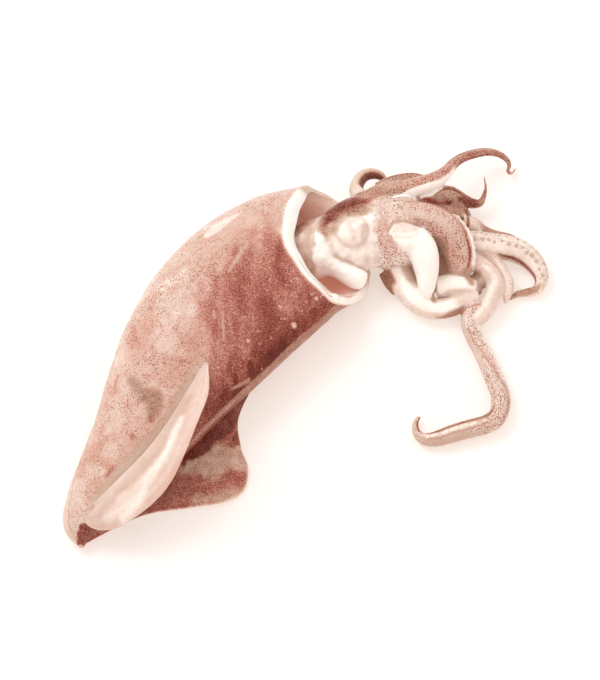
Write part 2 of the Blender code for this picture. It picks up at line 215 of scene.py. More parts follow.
# How the skin of each limb looks. skin: (pigment at the root, pigment at the tip, brown, spots).
# bands: strips along the limb: (angle, half width, start, end, pigment, brown, spots, relief), with
# angles in degrees from up, positive to the right of the way to the tip, start and end as parts of the
# length, and relief as a part of the radius. A relief over 0.1 is scalloped.
WHITE_SKIN = (0.02, 0.04, 0.1, 0)
NECK_SKIN = (0.16, 0.1, 0.4, 0)
HEAD_SKIN = dict(pigment=0.05, brown=0.2, spots=0.1)
CROWN_SKIN = dict(pigment=0.16, brown=0.2, spots=1.4)
EYE_SKIN = dict(pigment=0.13, brown=0.2)
LIMBS = {
    "hooked_arm": dict(skin=(0.42, 0.38, 0.6, 1.9), bands=[
        (-20, 70, -0.02, 0.12, 0.4, 0.8, 1.6, 0), (-4, 24, 0.16, 0.5, 0.46, 0.05, 2, 0),
        (34, 24, 0.4, 0.68, 0.5, 0.05, 2, 0), (76, 42, 0.22, 0.5, 0.02, 0.2, 0, 0.03),
        (-40, 12, 0.5, 0.97, 0.76, 0.85, 0.4, -0.05), (78, 16, 0.5, 0.97, 0.74, 0.6, 0.8, -0.05),
        (-8, 12, 0.55, 0.97, 0.42, 0.8, 0.3, 0.05), (22, 9, 0.56, 0.97, 0.74, 0.4, 0.2, -0.08)]),
    # the curled arm's band on the inside of its curl is painted shade
    "curled_arm": dict(skin=(0.2, 0.34, 0.45, 0.2), bands=[(70, 60, 0.03, 0.97, 0.8, 0.8, 0.1, -0.12)]),
    "back_arm": dict(skin=(0.42, 0.46, 0.75, 1.8), bands=[(-40, 14, 0, 1, 0.66, 0.6, 0.8, 0)]),
    # the pointed arm's last band, dark red under its root half, is painted shade
    "pointed_arm": dict(skin=(0.4, 0.5, 0.8, 1.8), bands=[
        (-58, 10, 0.1, 0.95, 0.84, 0.7, 0.3, -0.15), (-36, 10, 0.1, 0.6, 0.4, 0.8, 0.3, 0.15),
        (-12, 10, 0.1, 0.8, 0.8, 0.7, 0.3, -0.15), (8, 9, 0.1, 0.5, 0.44, 0.8, 0.3, 0.1),
        (34, 40, 0.42, 0.64, 0.82, 0.25, 0.6, 0), (100, 24, 0, 0.5, 0.78, 0.2, 0, 0)]),
    "folded_arm": dict(skin=(0.6, 0.6, 0.85, 0.2), bands=[
        (-58, 14, 0.1, 1, 0.84, 0.5, 0, -0.1), (30, 12, 0.1, 1, 0.46, 0.8, 0, 0.06)]),
    "shadow_arm": dict(skin=(0.4, 0.68, 0.8, 0.2), bands=[(-40, 30, 0, 0.32, 0.3, 0.7, 0.3, 0.2)]),
    # on the front arm, the pale band at 16 degrees is a painted highlight and the brown band at 92 degrees on
    # its inner side is painted shade
    "front_arm": dict(skin=(0.33, 0.39, 0.2, 1.5), bands=[
        (-35, 34, 0.05, 0.98, 0.3, 0.05, 1.8, 0), (-62, 22, 0, 0.34, 0.48, 0.7, 0.8, 0),
        (16, 17, 0.08, 0.62, 0.25, 0.3, 0.6, 0.03), (92, 44, 0.5, 0.99, 0.48, 0.9, 0.3, -0.04),
        (-47, 6, 0.36, 0.99, 0.66, 0.15, 0.3, -0.03), (-47, 6, 0.66, 0.99, 0.9, 0.02, 0, -0.04),
        (-75, 22, 0.54, 0.97, 0.02, 0.2, 0, 0.24)]),
    # the white arm's pinkish band on its side is painted shade
    "white_arm": dict(skin=WHITE_SKIN, bands=[(78, 30, 0.15, 0.95, 0.13, 0.4, 0, 0)]),
    "white_arm_tip": dict(skin=(0.4, 0.5, 0.8, 1), bands=[]),
    "inner_arm": dict(skin=(0, 0.1, 0.4, 0), bands=[
        (75, 34, 0.1, 1, 0.2, 0.5, 0, 0), (0, 180, 0.78, 1, 0.34, 0.7, 0, 0)]),
    # on the looped tentacle, the pale band at 14 degrees is a painted highlight; the other four bands are
    # painted shade, the first of them the shadow under the head
    "looped_tentacle": dict(skin=(0.14, 0.17, 0.4, 0.05), bands=[
        (76, 30, 0, 0.22, 0.66, 0.8, 0, 0), (-25, 26, 0.02, 0.3, 0.3, 0.7, 0.1, 0),
        (14, 34, 0.2, 0.8, 0.03, 0.3, 0, 0.02), (82, 26, 0.62, 1, 0.5, 0.8, 0.1, 0),
        (-70, 24, 0.6, 1, 0.4, 0.75, 0.1, 0)]),
    # the shadow web is painted shade throughout
    "fold": dict(skin=(0.66, 0.66, 0.85, 0), bands=[]),
    "inner_web": dict(skin=(0.5, 0.44, 0.85, 0), bands=[]),
    "web": dict(skin=(0.32, 0.24, 0.7, 0), bands=[]),
    # on the right arm, the pale band at 36 degrees is a painted highlight
    "right_arm": dict(skin=(0.15, 0.15, 0.4, 0.5), bands=[
        (-72, 16, 0.12, 0.75, 0.2, 0.75, 0, 0.14), (70, 15, 0.36, 0.97, 0.8, 0.85, 0.1, -0.08),
        (36, 26, 0.1, 0.74, 0.13, 0.4, 0, 0), (0, 60, 0.8, 1, 0.48, 0.85, 0.5, 0)]),
    # on the pale arm, the pale band at 10 degrees is a painted highlight
    "pale_arm": dict(skin=(0.26, 0.15, 0.4, 0.05), bands=[
        (-75, 25, 0.1, 0.5, 0.36, 0.6, 0.1, 0), (10, 20, 0.3, 0.95, 0.13, 0.3, 0, 0.03)]),
    "dotted_arm": dict(skin=(0.27, 0.22, 0.4, 0.1), bands=[
        (-75, 12, 0.5, 0.95, 0.4, 0.7, 0.1, 0), (0, 40, 0.3, 0.95, 0.12, 0.3, 0, -0.2)]),
    # on the long tentacle, the pale band at 6 degrees is a painted highlight
    "long_tentacle": dict(skin=(0.21, 0.26, 0.25, 1.5), bands=[
        (-62, 34, 0.05, 0.4, 0.1, 0.3, 0.3, 0), (66, 28, 0.04, 0.34, 0.25, 0.3, 0.3, 0),
        (-62, 42, 0.64, 1, 0.3, 0.8, 0.3, 0), (42, 15, 0.52, 0.86, 0.66, 0.85, 0.4, -0.06),
        (6, 16, 0.62, 0.9, 0.12, 0.4, 0.3, 0.05), (-16, 6, 0.58, 0.93, 0.5, 0.7, 0, -0.06),
        (50, 26, 0.9, 1, 0.84, 0.3, 0, -0.1)]),
    "upper_web": dict(skin=(0.5, 0.5, 0.75, 0.8), bands=[]),
}
# Rows of suckers: (limb, angle, start, end, spacing in mm, radius in mm, pigment of the rim, and how
# far from the limb's middle they sit, as a part of its radius).
SUCKER_ROWS = [
    ("right_arm", 2, 0.1, 0.76, 3.4, 0.85, 0.52, 0.97),
    ("right_arm", -52, 0.08, 0.74, 3, 0.85, 0.48, 0.97),
    ("front_arm", -90, 0.65, 0.9, 2.9, 1, 0.06, 1.22),
    ("dotted_arm", -14, 0.18, 0.92, 1.7, 0.42, 0.46, 0.97),
    ("long_tentacle", -34, 0.1, 0.6, 1.9, 0.42, 0.46, 0.97),
    ("folded_arm", 70, 0.3, 1, 3, 1.1, 0.26, 0.97),
]
# A sucker of radius 1: (radius, height) of each ring, from its foot over the rim into the cup.
CUP = [
    (0.55, -0.5), (0.8, 0.05), (0.98, 0.35), (1, 0.55), (0.88, 0.72), (0.68, 0.7), (0.5, 0.5),
    (0.32, 0.28), (0.05, 0.22),
]

# Where the red skin begins on the mantle: (mm from the tail, degrees round from the near side).
RED_BORDER = [
    (60, 126), (96, 122), (104, 115), (110, 114), (114, 107), (116, 98), (119, 86), (124, 79),
    (135, 78), (143, 80), (155, 81), (163, 75), (168, 69), (172, 68), (176, 76), (178, 87), (190, 95),
]
# Where the plain skin of the tail's near side ends, in the same terms.
PLAIN_TAIL_BORDER = [(9, 50), (13, 40), (22, 30), (31, 22), (38, 6)]

# Strokes painted on a surface seen from above: (route in the plan, half width, soft edge, pigment,
# brown, spots, relief). A half width may be a list, one for each point.
MANTLE_STROKES = [
    ([(-46, 41.5), (-41.5, 46), (-36.5, 50), (-31, 54)], [1.5, 3, 2, 0.4], 0.8, 0.17, 0.3, 0.1, 0.1),
    ([(-26, 34.5), (-30, 27), (-34.5, 18.5)], [0.2, 0.7, 0.3], 1.2, 0.36, 0.8, 0.3, -0.15),
    ([(-37.5, -3.5), (-37, -12.5), (-37, -18)], [0.1, 0.25, 0], 0.7, 0.37, 0.5, 0.2, -0.15),
    ([(-42, -3), (-41, -6.5)], [0.1, 0.3], 0.9, 0.38, 0.5, 0.2, 0),
    ([(-28.5, 16), (-29.5, 6.5), (-27.5, -2)], 1.6, 4, 0.72, 0.1, 0.3, 0),
    ([(-10, 30), (-11, 20.5), (-8, 13)], 1.2, 3, 0.76, 0.1, 0.3, 0),
    ([(-16.5, 1), (-13.5, -5.5), (-15.5, -12.5)], 3, 6, 0.8, 0.15, 0.2, 0),
    ([(-33, -38), (-24.5, -33)], [0.2, 0.5], 0.9, 0.5, 0.8, 0.1, 0.1),
    ([(-80.5, -36.5), (-75, -44), (-69, -46.5), (-69.5, -52), (-71, -56)], [1, 2.2, 3.2, 2.4, 0.8], 3.2,
     0.52, 0.95, 0.5, 0),
    ([(-103, -103.5), (-99, -104.5), (-102.5, -107), (-104, -109.5)], [1, 2.4, 2.6, 1.6], 1,
     0.76, 0.25, 0.4, 0),
    ([(-71, -56), (-70.6, -57)], 0.6, 1, 0.66, 0.3, 0.3, 0),
    ([(-87.5, -32.5), (-89, -38)], 0.4, 0.8, 0.5, 0.1, 0.3, 0),
    ([(-89, -79), (-91, -82)], 0.9, 1.8, 0.56, 0.1, 0.4, 0),
    ([(-79.5, -64), (-78.5, -65)], 0.5, 1.5, 0.55, 0.1, 0.4, 0),
    ([(-97, -66), (-96, -63.5), (-94, -64), (-93.5, -67), (-95, -69.5), (-97, -68.5)], 0.2, 0.5, 0.44, 0.3,
     0.2, -0.1),
    # a tan band in the groove along the near fin's root: painted shade of the fold
    ([(-50, -31), (-58.5, -49), (-63.5, -59.5), (-70, -67), (-80.5, -76.5), (-89, -84.5), (-97, -92)],
     [0.6, 1.6, 2.4, 2.8, 2.6, 2.2, 1], 2, 0.34, 0.85, 0.15, -0.5),
]
# On the near fin: a tan band of painted shade in the fold along the root, then three pale strokes of painted
# highlight along its ridges.
NEAR_FIN_STROKES = [
    ([(-53.5, -47), (-58.5, -59.5), (-66, -72.5), (-75, -80.5), (-84.5, -90.5), (-91.5, -97.5)],
     [1, 1.4, 1.8, 2, 1.2, 0.6], 3.6, 0.33, 0.6, 0, 0),
    ([(-56.5, -57.5), (-60, -66.5), (-64, -76.5), (-73.5, -87), (-77, -95.5), (-83, -101.5)],
     [0.3, 0.8, 1, 1.4, 1.6, 1], 3.2, 0.11, 0.2, 0, 0),
    ([(-76, -89), (-83, -95), (-90, -99.5)], [1, 2.5, 1.5], 4, 0.17, 0.2, 0, 0),
    ([(-47, -43.5), (-48, -49.5), (-50.5, -59), (-53, -65.5), (-57, -76), (-65.5, -88)],
     [0.2, 0.6, 0.8, 0.8, 0.6, 0.3], 3, 0.25, 0.3, 0, 0),
]
FAR_FIN_STROKES = [
    ([(-56, -72), (-46, -70), (-37, -68), (-29, -64), (-25.5, -67)], [2, 4.4, 6.2, 5, 3], 4,
     0.36, 0.8, 0.8, 0),
    ([(-25.5, -74), (-26, -80), (-30, -84)], 2.4, 4, 0.46, 0.6, 0.8, 0),
    ([(-49, -87), (-41, -84.5), (-34, -83)], [1.5, 3.5, 3], 3.6, 0.36, 0.8, 0.8, 0),
    ([(-30, -74.5), (-36, -78), (-43, -79.5), (-49.5, -78.5)], [1.8, 2, 1.8, 1], 3.5, 0.62, 0, 0.6, 0),
    ([(-72, -93.5), (-61, -92), (-50, -90.5), (-41, -87.5)], 0.5, 1.2, 0.42, 0.6, 1.2, 0),
    ([(-29.5, -47), (-30, -53), (-32, -57)], 1.5, 1.5, 0.74, 0.2, 1, 0),
    # a dark stroke of painted shadow that the raised near fin casts on the far fin
    ([(-27, -36), (-38, -48.5), (-47, -57.5), (-56, -67)], [2.5, 5.5, 5.5, 2.5], 1.6, 0.9, 0.25, 0, 0),
]
# Small pale scars on the red skin: (x, y, radius).
PALE_DISCS = [
    (-3, -6, 1.3), (-25, -16.5, 0.75), (-9.5, 1, 0.5), (-20, -11.5, 0.4), (-14, -13.5, 0.35), (-7.5, -4, 0.4),
    (-19.5, -17, 0.3), (-24.5, -24.5, 0.35), (-18.5, -27, 0.3), (8, 7.5, 0.8), (-1.5, 15.5, 0.5),
    (5.5, 9, 0.35), (3, 5, 0.3), (11, 9.5, 0.35), (1, 1, 0.3), (-4, 8, 0.3), (-12, 5, 0.25), (0, 20, 0.3),
    (9, 12.5, 0.3), (-16, 9, 0.25), (-28, -20, 0.3), (-11, -9, 0.3), (6, 4, 0.25), (-7, 12, 0.25),
]
HEAD_STROKES = [
    # the neck: a tan hollow of painted shade at the mantle's edge, then pale folds with soft grooves between
    # them, darkened with painted shade
    ([(-3, 46), (-0.5, 48.7), (3, 52), (6.5, 54.5)], [3.4, 2.6, 2, 0.8], 1.2, 0.6, 0.7, 0, -0.6),
    ([(10, 56), (5.5, 48.5), (1.5, 41), (0.5, 34), (4, 28)], 3, 3, 0.36, 0.7, 0.1, -0.4),
    ([(1.5, 42.1), (3.5, 35.4), (6.4, 30.9)], 1.2, 2.4, 0.26, 0.4, 0.1, 0.2),
    ([(13, 56.9), (9.5, 50.1), (8.4, 41.7), (9.9, 33.9)], 1.1, 2.8, 0.1, 0.4, 0, 0.35),
    ([(11.4, 53), (7.4, 47), (6.2, 40.5), (7.2, 33)], 0.4, 1.2, 0.3, 0.6, 0, -0.25),
    ([(14.4, 51.8), (12.4, 44.5), (12.9, 37.2), (15.8, 32.2)], 0.6, 1.3, 0.34, 0.75, 0.1, -0.4),
    ([(7.5, 34.5), (10.9, 39), (12.6, 34.6), (13.8, 31.5), (19.5, 30)], [0.8, 1.2, 2, 2, 1.2], 2.4,
     0, 0.2, 0, 0.7),
    # the dark brow round the back of the eye
    ([(13.4, 46.2), (14.4, 55.3), (19, 61.5), (26, 65.5), (33.1, 68.9), (40.1, 72.4)], 3.6, 2.4,
     0.5, 0.85, 0.6, 0),
    ([(16.8, 49.5), (20.5, 53), (25, 54), (30, 54.5), (34, 56.5)], 2.6, 2.6, 0.5, 0.8, 0.9, -0.2),
    ([(13.9, 48), (15.9, 54.2), (19.9, 58.1), (25.9, 60.4), (31.9, 61.5), (36.9, 63.3)],
     [1.2, 2.4, 3, 2.8, 2, 0.4], 3, 0.84, 0.25, 0.8, 0.1),
    ([(15.4, 46.8), (16.8, 40.7), (19.7, 35.6), (24.7, 34)], [1.6, 1.8, 1.4, 0.6], 2.2,
     0.42, 0.75, 0.4, -0.3),
    # the eye: a pale dome in a shallow ring
    ([(25.4, 43.3), (25.8, 43.1)], 7.8, 2.4, 0.28, 0.6, 0.2, -0.45),
    ([(25.6, 43.4), (26, 43.2)], 6, 2.2, 0.1, 0.3, 0, 0.8),
    ([(25.4, 43.5), (26.4, 40.5)], 0.8, 2, 0.18, 0.4, 0, -0.1),
    ([(30.5, 39.5), (31.5, 43), (31, 46)], 0.3, 1.6, 0.2, 0.5, 0.1, -0.1),
    ([(41, 60), (42, 52), (41.5, 44), (40, 37)], 0.6, 6.5, 0.1, 0.2, 0.7, 0),
    # the pale cheek, the lumps beside the funnel, the head's lower edge and the dotted crown
    ([(16.8, 39.5), (19.8, 35), (24.7, 32.6), (31.5, 31), (38.4, 30)], 1.6, 2.4, 0.12, 0.3, 0, 0.15),
    ([(7.9, 30.9), (12.9, 29.8), (17.9, 29.3), (22.8, 27.6)], 1.6, 1.2, 0, 0.2, 0, 0.5),
    ([(17, 33.4), (24.8, 31), (32.2, 29.2), (39.6, 27.6), (47, 27), (53.5, 29.3)], 0.3, 1,
     0.28, 0.5, 0, -0.4),
    ([(39.5, 57), (42.2, 53.6), (47.1, 47.4)], 3, 5, 0.24, 0.1, 1, 0),
    ([(33, 66), (40, 67), (47, 66)], 3, 3, 0.5, 0.6, 1, 0),
    ([(41.6, 44), (43.5, 39.5), (46.5, 36), (51, 32)], 3, 3.6, 0.3, 0, 1.2, 0),
    ([(52, 37.5), (55, 34.5), (56.5, 32.5)], 0.4, 1.2, 0.46, 0.4, 0.4, 0),
]
# The same for limbs, and with the heights between which a stroke takes hold.
LIMB_STROKES = [
    ([(83.3, 2.1), (85.7, -4), (88.9, -9.9), (93.2, -15.7), (98.2, -24.8), (101.6, -32.2), (102, -39.5),
      (97.9, -48.5)], 0.1, 0.7, 0.5, 0.45, 0.6, -0.2, 4, 14),
    ([(84, 63), (87.5, 59.5), (90.5, 56)], [1, 2.6, 1.6], 1.4, 0.18, 0.6, 0.1, 0.2, 8, 22),
    ([(57, 68.6), (63.2, 68.3), (69.2, 67.1)], [0.2, 0.7, 0.3], 1.2, 0.78, 0.05, 0, 0, 10, 30),
    # painted shadow under the head, beside the shadow web
    ([(40, 32.5), (43, 26.5), (46, 22.5)], [2, 1.5, 0.3], 1.4, 0.66, 0.85, 0, 0, 0, 16),
    # these two: painted shade where the looped tentacle lies over the long tentacle's root
    ([(73, 8.5), (77.5, 10), (81.5, 13)], [0.8, 1.4, 0.6], 1.8, 0.52, 0.8, 0.3, -0.2, 0, 14),
    ([(81.5, 13.3), (86, 14.3), (90, 15.3)], 0.3, 0.9, 0.46, 0.3, 0.4, -0.3, 0, 14),
    ([(88.5, 31), (84.5, 30), (85.5, 26)], [1.6, 2, 1], 1.8, 0.46, 0.85, 0, 0, 4, 16),
    ([(75.5, 32), (81, 31), (86, 31)], 1.4, 1.6, 0.42, 0.8, 0, 0, 4, 16),
    ([(46, 44.5), (50, 43), (55, 42), (59, 40), (62, 35), (63, 29), (63, 23)], [2, 4, 5.6, 6, 5.6, 5, 4], 1.2,
     0.02, 0.2, 0, 0, 24, 50),
    ([(45.2, 70.6), (50.3, 72.5), (55, 75)], [2, 2, 0.6], 2, 0.4, 0.5, 1.4, 0, 20, 40),
    ([(42, 62), (49, 63.2), (55, 63.5)], [2, 2, 1], 2.5, 0.24, 0.5, 1.2, 0, 18, 40),
    ([(46.5, 64.2), (51.2, 65.8), (57.3, 68.3), (65.4, 71.8), (71, 75.3)], [0.2, 0.7, 1.6, 2.1, 1], 0.7,
     0, 0.2, 0, 0, 16, 40),
    ([(84.4, 66.5), (85.2, 63), (85.3, 58.4)], 0.2, 0.7, 0.88, 0.4, 0, -0.2, 8, 22),
    ([(47, 45), (51, 45), (56, 44.5)], [1.5, 2.6, 1.5], 2.4, 0.15, 0.2, 0.2, 0, 24, 50),
    ([(47, 41.5), (51, 39.6), (55, 39.6), (58.5, 42.5)], 0.2, 1.2, 0.13, 0.5, 0, -0.4, 26, 50),
    ([(43.5, 44), (46, 48), (50, 49), (55, 48.6), (60, 47)], 0.3, 1, 0.4, 0.6, 0.2, -0.5, 22, 50),
]


def srgb(red, green, blue):
    """A linear colour from 0..255 display values."""
    out = []
    for value in (red, green, blue):
        c = value / 255
        out.append(c / 12.92 if c <= 0.04045 else ((c + 0.055) / 1.055) ** 2.4)
    return (*out, 1)


# Skin colours from no pigment to full, for red and for brown skin.
RED_SKIN = [
    (0, srgb(252, 243, 236)), (0.15, srgb(244, 223, 212)), (0.3, srgb(237, 202, 187)),
    (0.42, srgb(230, 180, 162)), (0.55, srgb(210, 141, 124)), (0.68, srgb(183, 105, 90)),
    (0.8, srgb(157, 77, 62)), (0.92, srgb(134, 50, 32)), (1, srgb(104, 35, 20)),
]
BROWN_SKIN = [
    (0, srgb(252, 243, 235)), (0.15, srgb(240, 218, 204)), (0.3, srgb(222, 190, 170)),
    (0.45, srgb(202, 160, 136)), (0.6, srgb(176, 126, 104)), (0.75, srgb(148, 98, 79)),
    (0.9, srgb(114, 62, 46)), (1, srgb(88, 40, 27)),
]
# Dots of the skin: cell size in mm, smallest and largest radius and soft edge as parts of the cell, and
# how far from regular the cells are.
FINE_DOTS = dict(size=1, small=0.34, large=0.56, edge=0.16, loose=0.75)
LARGE_DOTS = dict(size=1.7, small=-0.25, large=0.3)
PALE_SPECKS = dict(size=1.9, small=-0.1, large=0.3)
DOT_WEIGHT = 0.85
FINE_DOT_PIGMENT = 0.62
LARGE_DOT_PIGMENT = 0.80
LEAST_DARKENING = 0.30  # by a dot, on skin as dark as the dot
SPECK_PALING = 0.26
WHITENING = 0.92
LIGHT_LEVEL = 0.77  # skin colours are as seen in full light, which is a little over one
PALE_GAIN = 0.20
# painted glow: an emission colour that stands in for light coming through the mantle's wall into its mouth
PAINTED_WALL_GLOW = (0.29, 0.12, 0.085, 1)  # light that comes through the mantle's wall into its mouth
SKIN_SHADER = {
    "Emission Color": PAINTED_WALL_GLOW,
    "Subsurface Weight": 0.5,
    "Subsurface Radius": (1, 0.5, 0.35),
    "Subsurface Scale": 3.0 * MM,
    "Coat Weight": 0.15,
    "Coat Roughness": 0.12,
    "IOR": 1.35,
    "Specular IOR Level": 0.25,
}
BUMP_STRENGTH = 0.3
BUMP_HEIGHT = 0.5 * MM

FLOOR_HALF_SIZE = 6.0  # metres
FLOOR_DEPTH = 0.0002  # how far the floor lies under the object
FLOOR_SHADER = {
    "Base Color": (0.5, 0.5, 0.5, 1),
    "Emission Color": (1, 0.86, 0.77, 1),
    "Emission Strength": 0.51,
    "Roughness": 0.9,
    "Specular IOR Level": 0.1,
}
SKY = dict(Color=(1, 0.95, 0.915, 1), Strength=1.1)
KEY_LIGHT_PLACE = (-0.7, 0.55, 1.1)
KEY_LIGHT = dict(energy=9, size=0.6, color=(0.72, 0.93, 1))
CAMERA_ELEVATION = 65.0  # degrees
CAMERA_DISTANCE = 1.0
VIEW_HEIGHT = 0.34  # metres seen from top to bottom at the aim point
SENSOR = 36.0  # mm

# ---- maths


def spline(points, t):
    """Rows of values at the places t (0..1) of a Catmull-Rom curve through points."""
    p = np.asarray(points, float)
    q = np.vstack([2 * p[0] - p[1], p, 2 * p[-1] - p[-2]])
    place = np.clip(np.asarray(t, float), 0, 1) * (len(p) - 1)
    i = np.minimum(place.astype(int), len(p) - 2)
    f = (place - i)[..., None]
    a, b, c, d = q[i], q[i + 1], q[i + 2], q[i + 3]
    return 0.5 * (2 * b + (c - a) * f + (2 * a - 5 * b + 4 * c - d) * f ** 2
                  + (3 * b - a - 3 * c + d) * f ** 3)


def closed_spline(values, turn):
    """A closed Catmull-Rom curve through values spaced evenly round a turn of 0..1."""
    v = np.asarray(values, float)
    place = np.mod(turn, 1.0) * len(v)
    i = np.floor(place).astype(int)
    f = place - i
    a, b, c, d = (v[(i + k - 1) % len(v)] for k in range(4))
    return 0.5 * (2 * b + (c - a) * f + (2 * a - 5 * b + 4 * c - d) * f ** 2
                  + (3 * b - a - 3 * c + d) * f ** 3)


def smooth(low, high, value):
    """A soft step from 0 at low to 1 at high; low may be the larger one."""
    t = np.clip((value - low) / (high - low), 0, 1)
    return t * t * (3 - 2 * t)


def bump(value, centre, width):
    """A bell of height 1 round the centre."""
    return np.exp(-((value - centre) / width) ** 2)


def lattice_value(ix, iy, iz, seed):
    """A fixed value in -1..1 for each corner of a whole-number lattice."""
    n = (ix * 374761393 + iy * 668265263 + iz * 2147483647 + seed * 1274126177) & 0xFFFFFFFF
    n = ((n ^ (n >> 13)) * 1103515245) & 0xFFFFFFFF
    n = ((n ^ (n >> 16)) * 2246822519) & 0xFFFFFFFF
    return ((n ^ (n >> 15)) & 0xFFFF) / 32767.5 - 1.0


def noise(points, size, seed=0):
    """Smooth value noise in -1..1 with cells of the given size."""
    p = np.asarray(points, float) / size
    base = np.floor(p).astype(np.int64)
    f = p - base
    f = f * f * (3 - 2 * f)
    total = 0
    for dx in (0, 1):
        for dy in (0, 1):
            for dz in (0, 1):
                weight = ((f[..., 0] if dx else 1 - f[..., 0]) * (f[..., 1] if dy else 1 - f[..., 1])
                          * (f[..., 2] if dz else 1 - f[..., 2]))
                total = total + weight * lattice_value(
                    base[..., 0] + dx, base[..., 1] + dy, base[..., 2] + dz, seed)
    return total


def on_table(z, softness=1.2):
    """Presses heights below the table's surface flat, with a soft corner."""
    return 0.5 * (z + np.sqrt(z * z + softness * softness))


def route_distance(flat, route, widths):
    """Distance of plan points from a route, less the route's half width there."""
    route = np.asarray(route, float)
    widths = np.broadcast_to(np.asarray(widths, float), (len(route),))
    best = np.full(flat.shape[:-1], 1e9)
    for a, b, wa, wb in zip(route[:-1], route[1:], widths[:-1], widths[1:]):
        step = b - a
        t = np.clip(((flat - a) @ step) / (step @ step), 0, 1)
        gap = np.linalg.norm(flat - a - t[..., None] * step, axis=-1) - (wa + (wb - wa) * t)
        best = np.minimum(best, gap)
    return best


def full_masks(shape, **values):
    """All the masks over points of this shape; a mask that isn't given is 0."""
    return {key: np.zeros(shape) + values.get(key, 0) for key in MASKS}


def tint(masks, share, pigment, brown, spots):
    """Moves the skin's three main masks towards these values by this share."""
    for key, value in (("pigment", pigment), ("brown", brown), ("spots", spots)):
        masks[key] = masks[key] + (value - masks[key]) * share


def paint(points, masks, strokes, where=1.0):
    """Blends strokes into the masks and returns how far each lifts the surface."""
    lift = np.zeros(points.shape[:-1])
    flat = points[..., :2] + 0.5 * np.stack([noise(points, 4, 50), noise(points, 4, 51)], -1)
    for route, widths, soft, pigment, brown, spots, relief in strokes:
        gap = route_distance(flat, route, widths)
        share = smooth(soft, -0.3 * soft, gap) * where
        tint(masks, share, pigment, brown, spots)
        masks["white"] = masks["white"] * (1 - share)
        masks["specks"] = masks["specks"] * (1 - share * (pigment < 0.6))
        lift = lift + relief * share
    return lift


# ---- meshes


def make_mesh(name, points, faces, masks, material):
    """An object from millimetre points in the plan, quads or triangles, and per-point masks."""
    faces = np.asarray(faces, np.int32)
    mesh = bpy.data.meshes.new(name)
    mesh.vertices.add(len(points))
    sides = faces.shape[1]
    mesh.loops.add(faces.size)
    mesh.loops.foreach_set("vertex_index", faces.ravel())
    mesh.polygons.add(len(faces))
    mesh.polygons.foreach_set("loop_start", np.arange(0, faces.size, sides, dtype=np.int32))
    mesh.polygons.foreach_set("loop_total", np.full(len(faces), sides, np.int32))
    set_points(mesh, points)
    mesh.update(calc_edges=True)
    mesh.validate()
    item = bpy.data.objects.new(name, mesh)
    bpy.context.scene.collection.objects.link(item)
    set_masks(mesh, masks)
    mesh.shade_smooth()
    mesh.materials.append(material)
    return item


def set_points(mesh, points):
    """Places a mesh's vertices at these points of the plan."""
    mesh.vertices.foreach_set("co", ((points - ORIGIN) * MM).astype(np.float32).ravel())
    mesh.update()


def set_masks(mesh, masks):
    """Stores the masks as float attributes of the mesh's points."""
    for key, values in masks.items():
        layer = mesh.attributes.get(key) or mesh.attributes.new(key, "FLOAT", "POINT")
        layer.data.foreach_set("value", np.asarray(values, np.float32))


def face_outwards(item):
    work = bmesh.new()
    work.from_mesh(item.data)
    bmesh.ops.recalc_face_normals(work, faces=work.faces)
    work.to_mesh(item.data)
    work.free()


def grid_faces(rows, columns, wrap=False):
    """Quads of a grid of points stored row by row."""
    i, j = np.meshgrid(np.arange(rows - 1), np.arange(columns if wrap else columns - 1), indexing="ij")
    n = (j + 1) % columns
    a, b = i * columns, (i + 1) * columns
    return np.stack([a + j, b + j, b + n, a + n], -1).reshape(-1, 4)


def grid_normals(grid, wrap=False):
    """Unit normals of a grid of points; columns wrap round if asked."""
    along = np.gradient(grid, axis=0)
    if wrap:
        across = (np.roll(grid, -1, 1) - np.roll(grid, 1, 1)) / 2
    else:
        across = np.gradient(grid, axis=1)
    normal = np.cross(along, across)
    return normal / (np.linalg.norm(normal, axis=-1, keepdims=True) + 1e-9)


# ---- mantle


class MantlePath:
    """The mantle's centre line, addressed by its length in millimetres from the tail."""

    def __init__(self):
        t = np.linspace(0, 1, 3001)
        self.values = spline(MANTLE_STATIONS, t)
        step = np.hypot(*np.diff(self.values[:, :2], axis=0).T)
        self.length = np.concatenate([[0], np.cumsum(step)])
        self.heading = np.unwrap(np.arctan2(np.gradient(self.values[:, 1]), np.gradient(self.values[:, 0])))
        self.mouth = np.interp(MOUTH_STATION / (len(MANTLE_STATIONS) - 1), t, self.length)

    def at(self, distance):
        """The section's five values and the heading at a distance; past the end the line runs straight on."""
        distance = np.asarray(distance, float)
        beyond = distance - self.length[-1]
        channels = [np.interp(distance, self.length, self.values[:, k]) for k in range(5)]
        heading = np.interp(distance, self.length, self.heading)
        channels[0] = channels[0] + np.maximum(beyond, 0) * np.cos(heading)
        channels[1] = channels[1] + np.maximum(beyond, 0) * np.sin(heading)
        return channels, heading

    def wall(self, distance, angle, inset=0.0, shrink=1.0):
        """Points of the wall, or of a surface that lies this far inside it."""
        (x, y, z, half_width, half_height), heading = self.at(distance)
        side = np.maximum(half_width - inset, 0.4) * shrink * np.cos(angle)
        height = z + np.maximum(half_height - inset, 0.4) * shrink * np.sin(angle)
        height = inset + on_table(height - inset)
        return np.stack([x - side * np.sin(heading), y + side * np.cos(heading), height], -1)


PATH = MantlePath()


def rim_offset(angle):
    """How far the rim stands before or behind the mouth's station, with its small waves."""
    edge = closed_spline(RIM_OFFSETS, angle / (2 * math.pi))
    return edge + 0.5 * np.sin(5 * angle + 1) + 0.35 * np.sin(11 * angle)


def cut_slant(angle):
    """How far the cut's inner edge lies in front of its outer one."""
    return RIM_SLANT[0] + RIM_SLANT[1] * np.maximum(np.sin(angle), 0)


def rim_whiteness(degrees):
    """The cut rim is white where it faces up and tan on the far wall."""
    return smooth(22, 48, degrees) * smooth(232, 205, degrees)


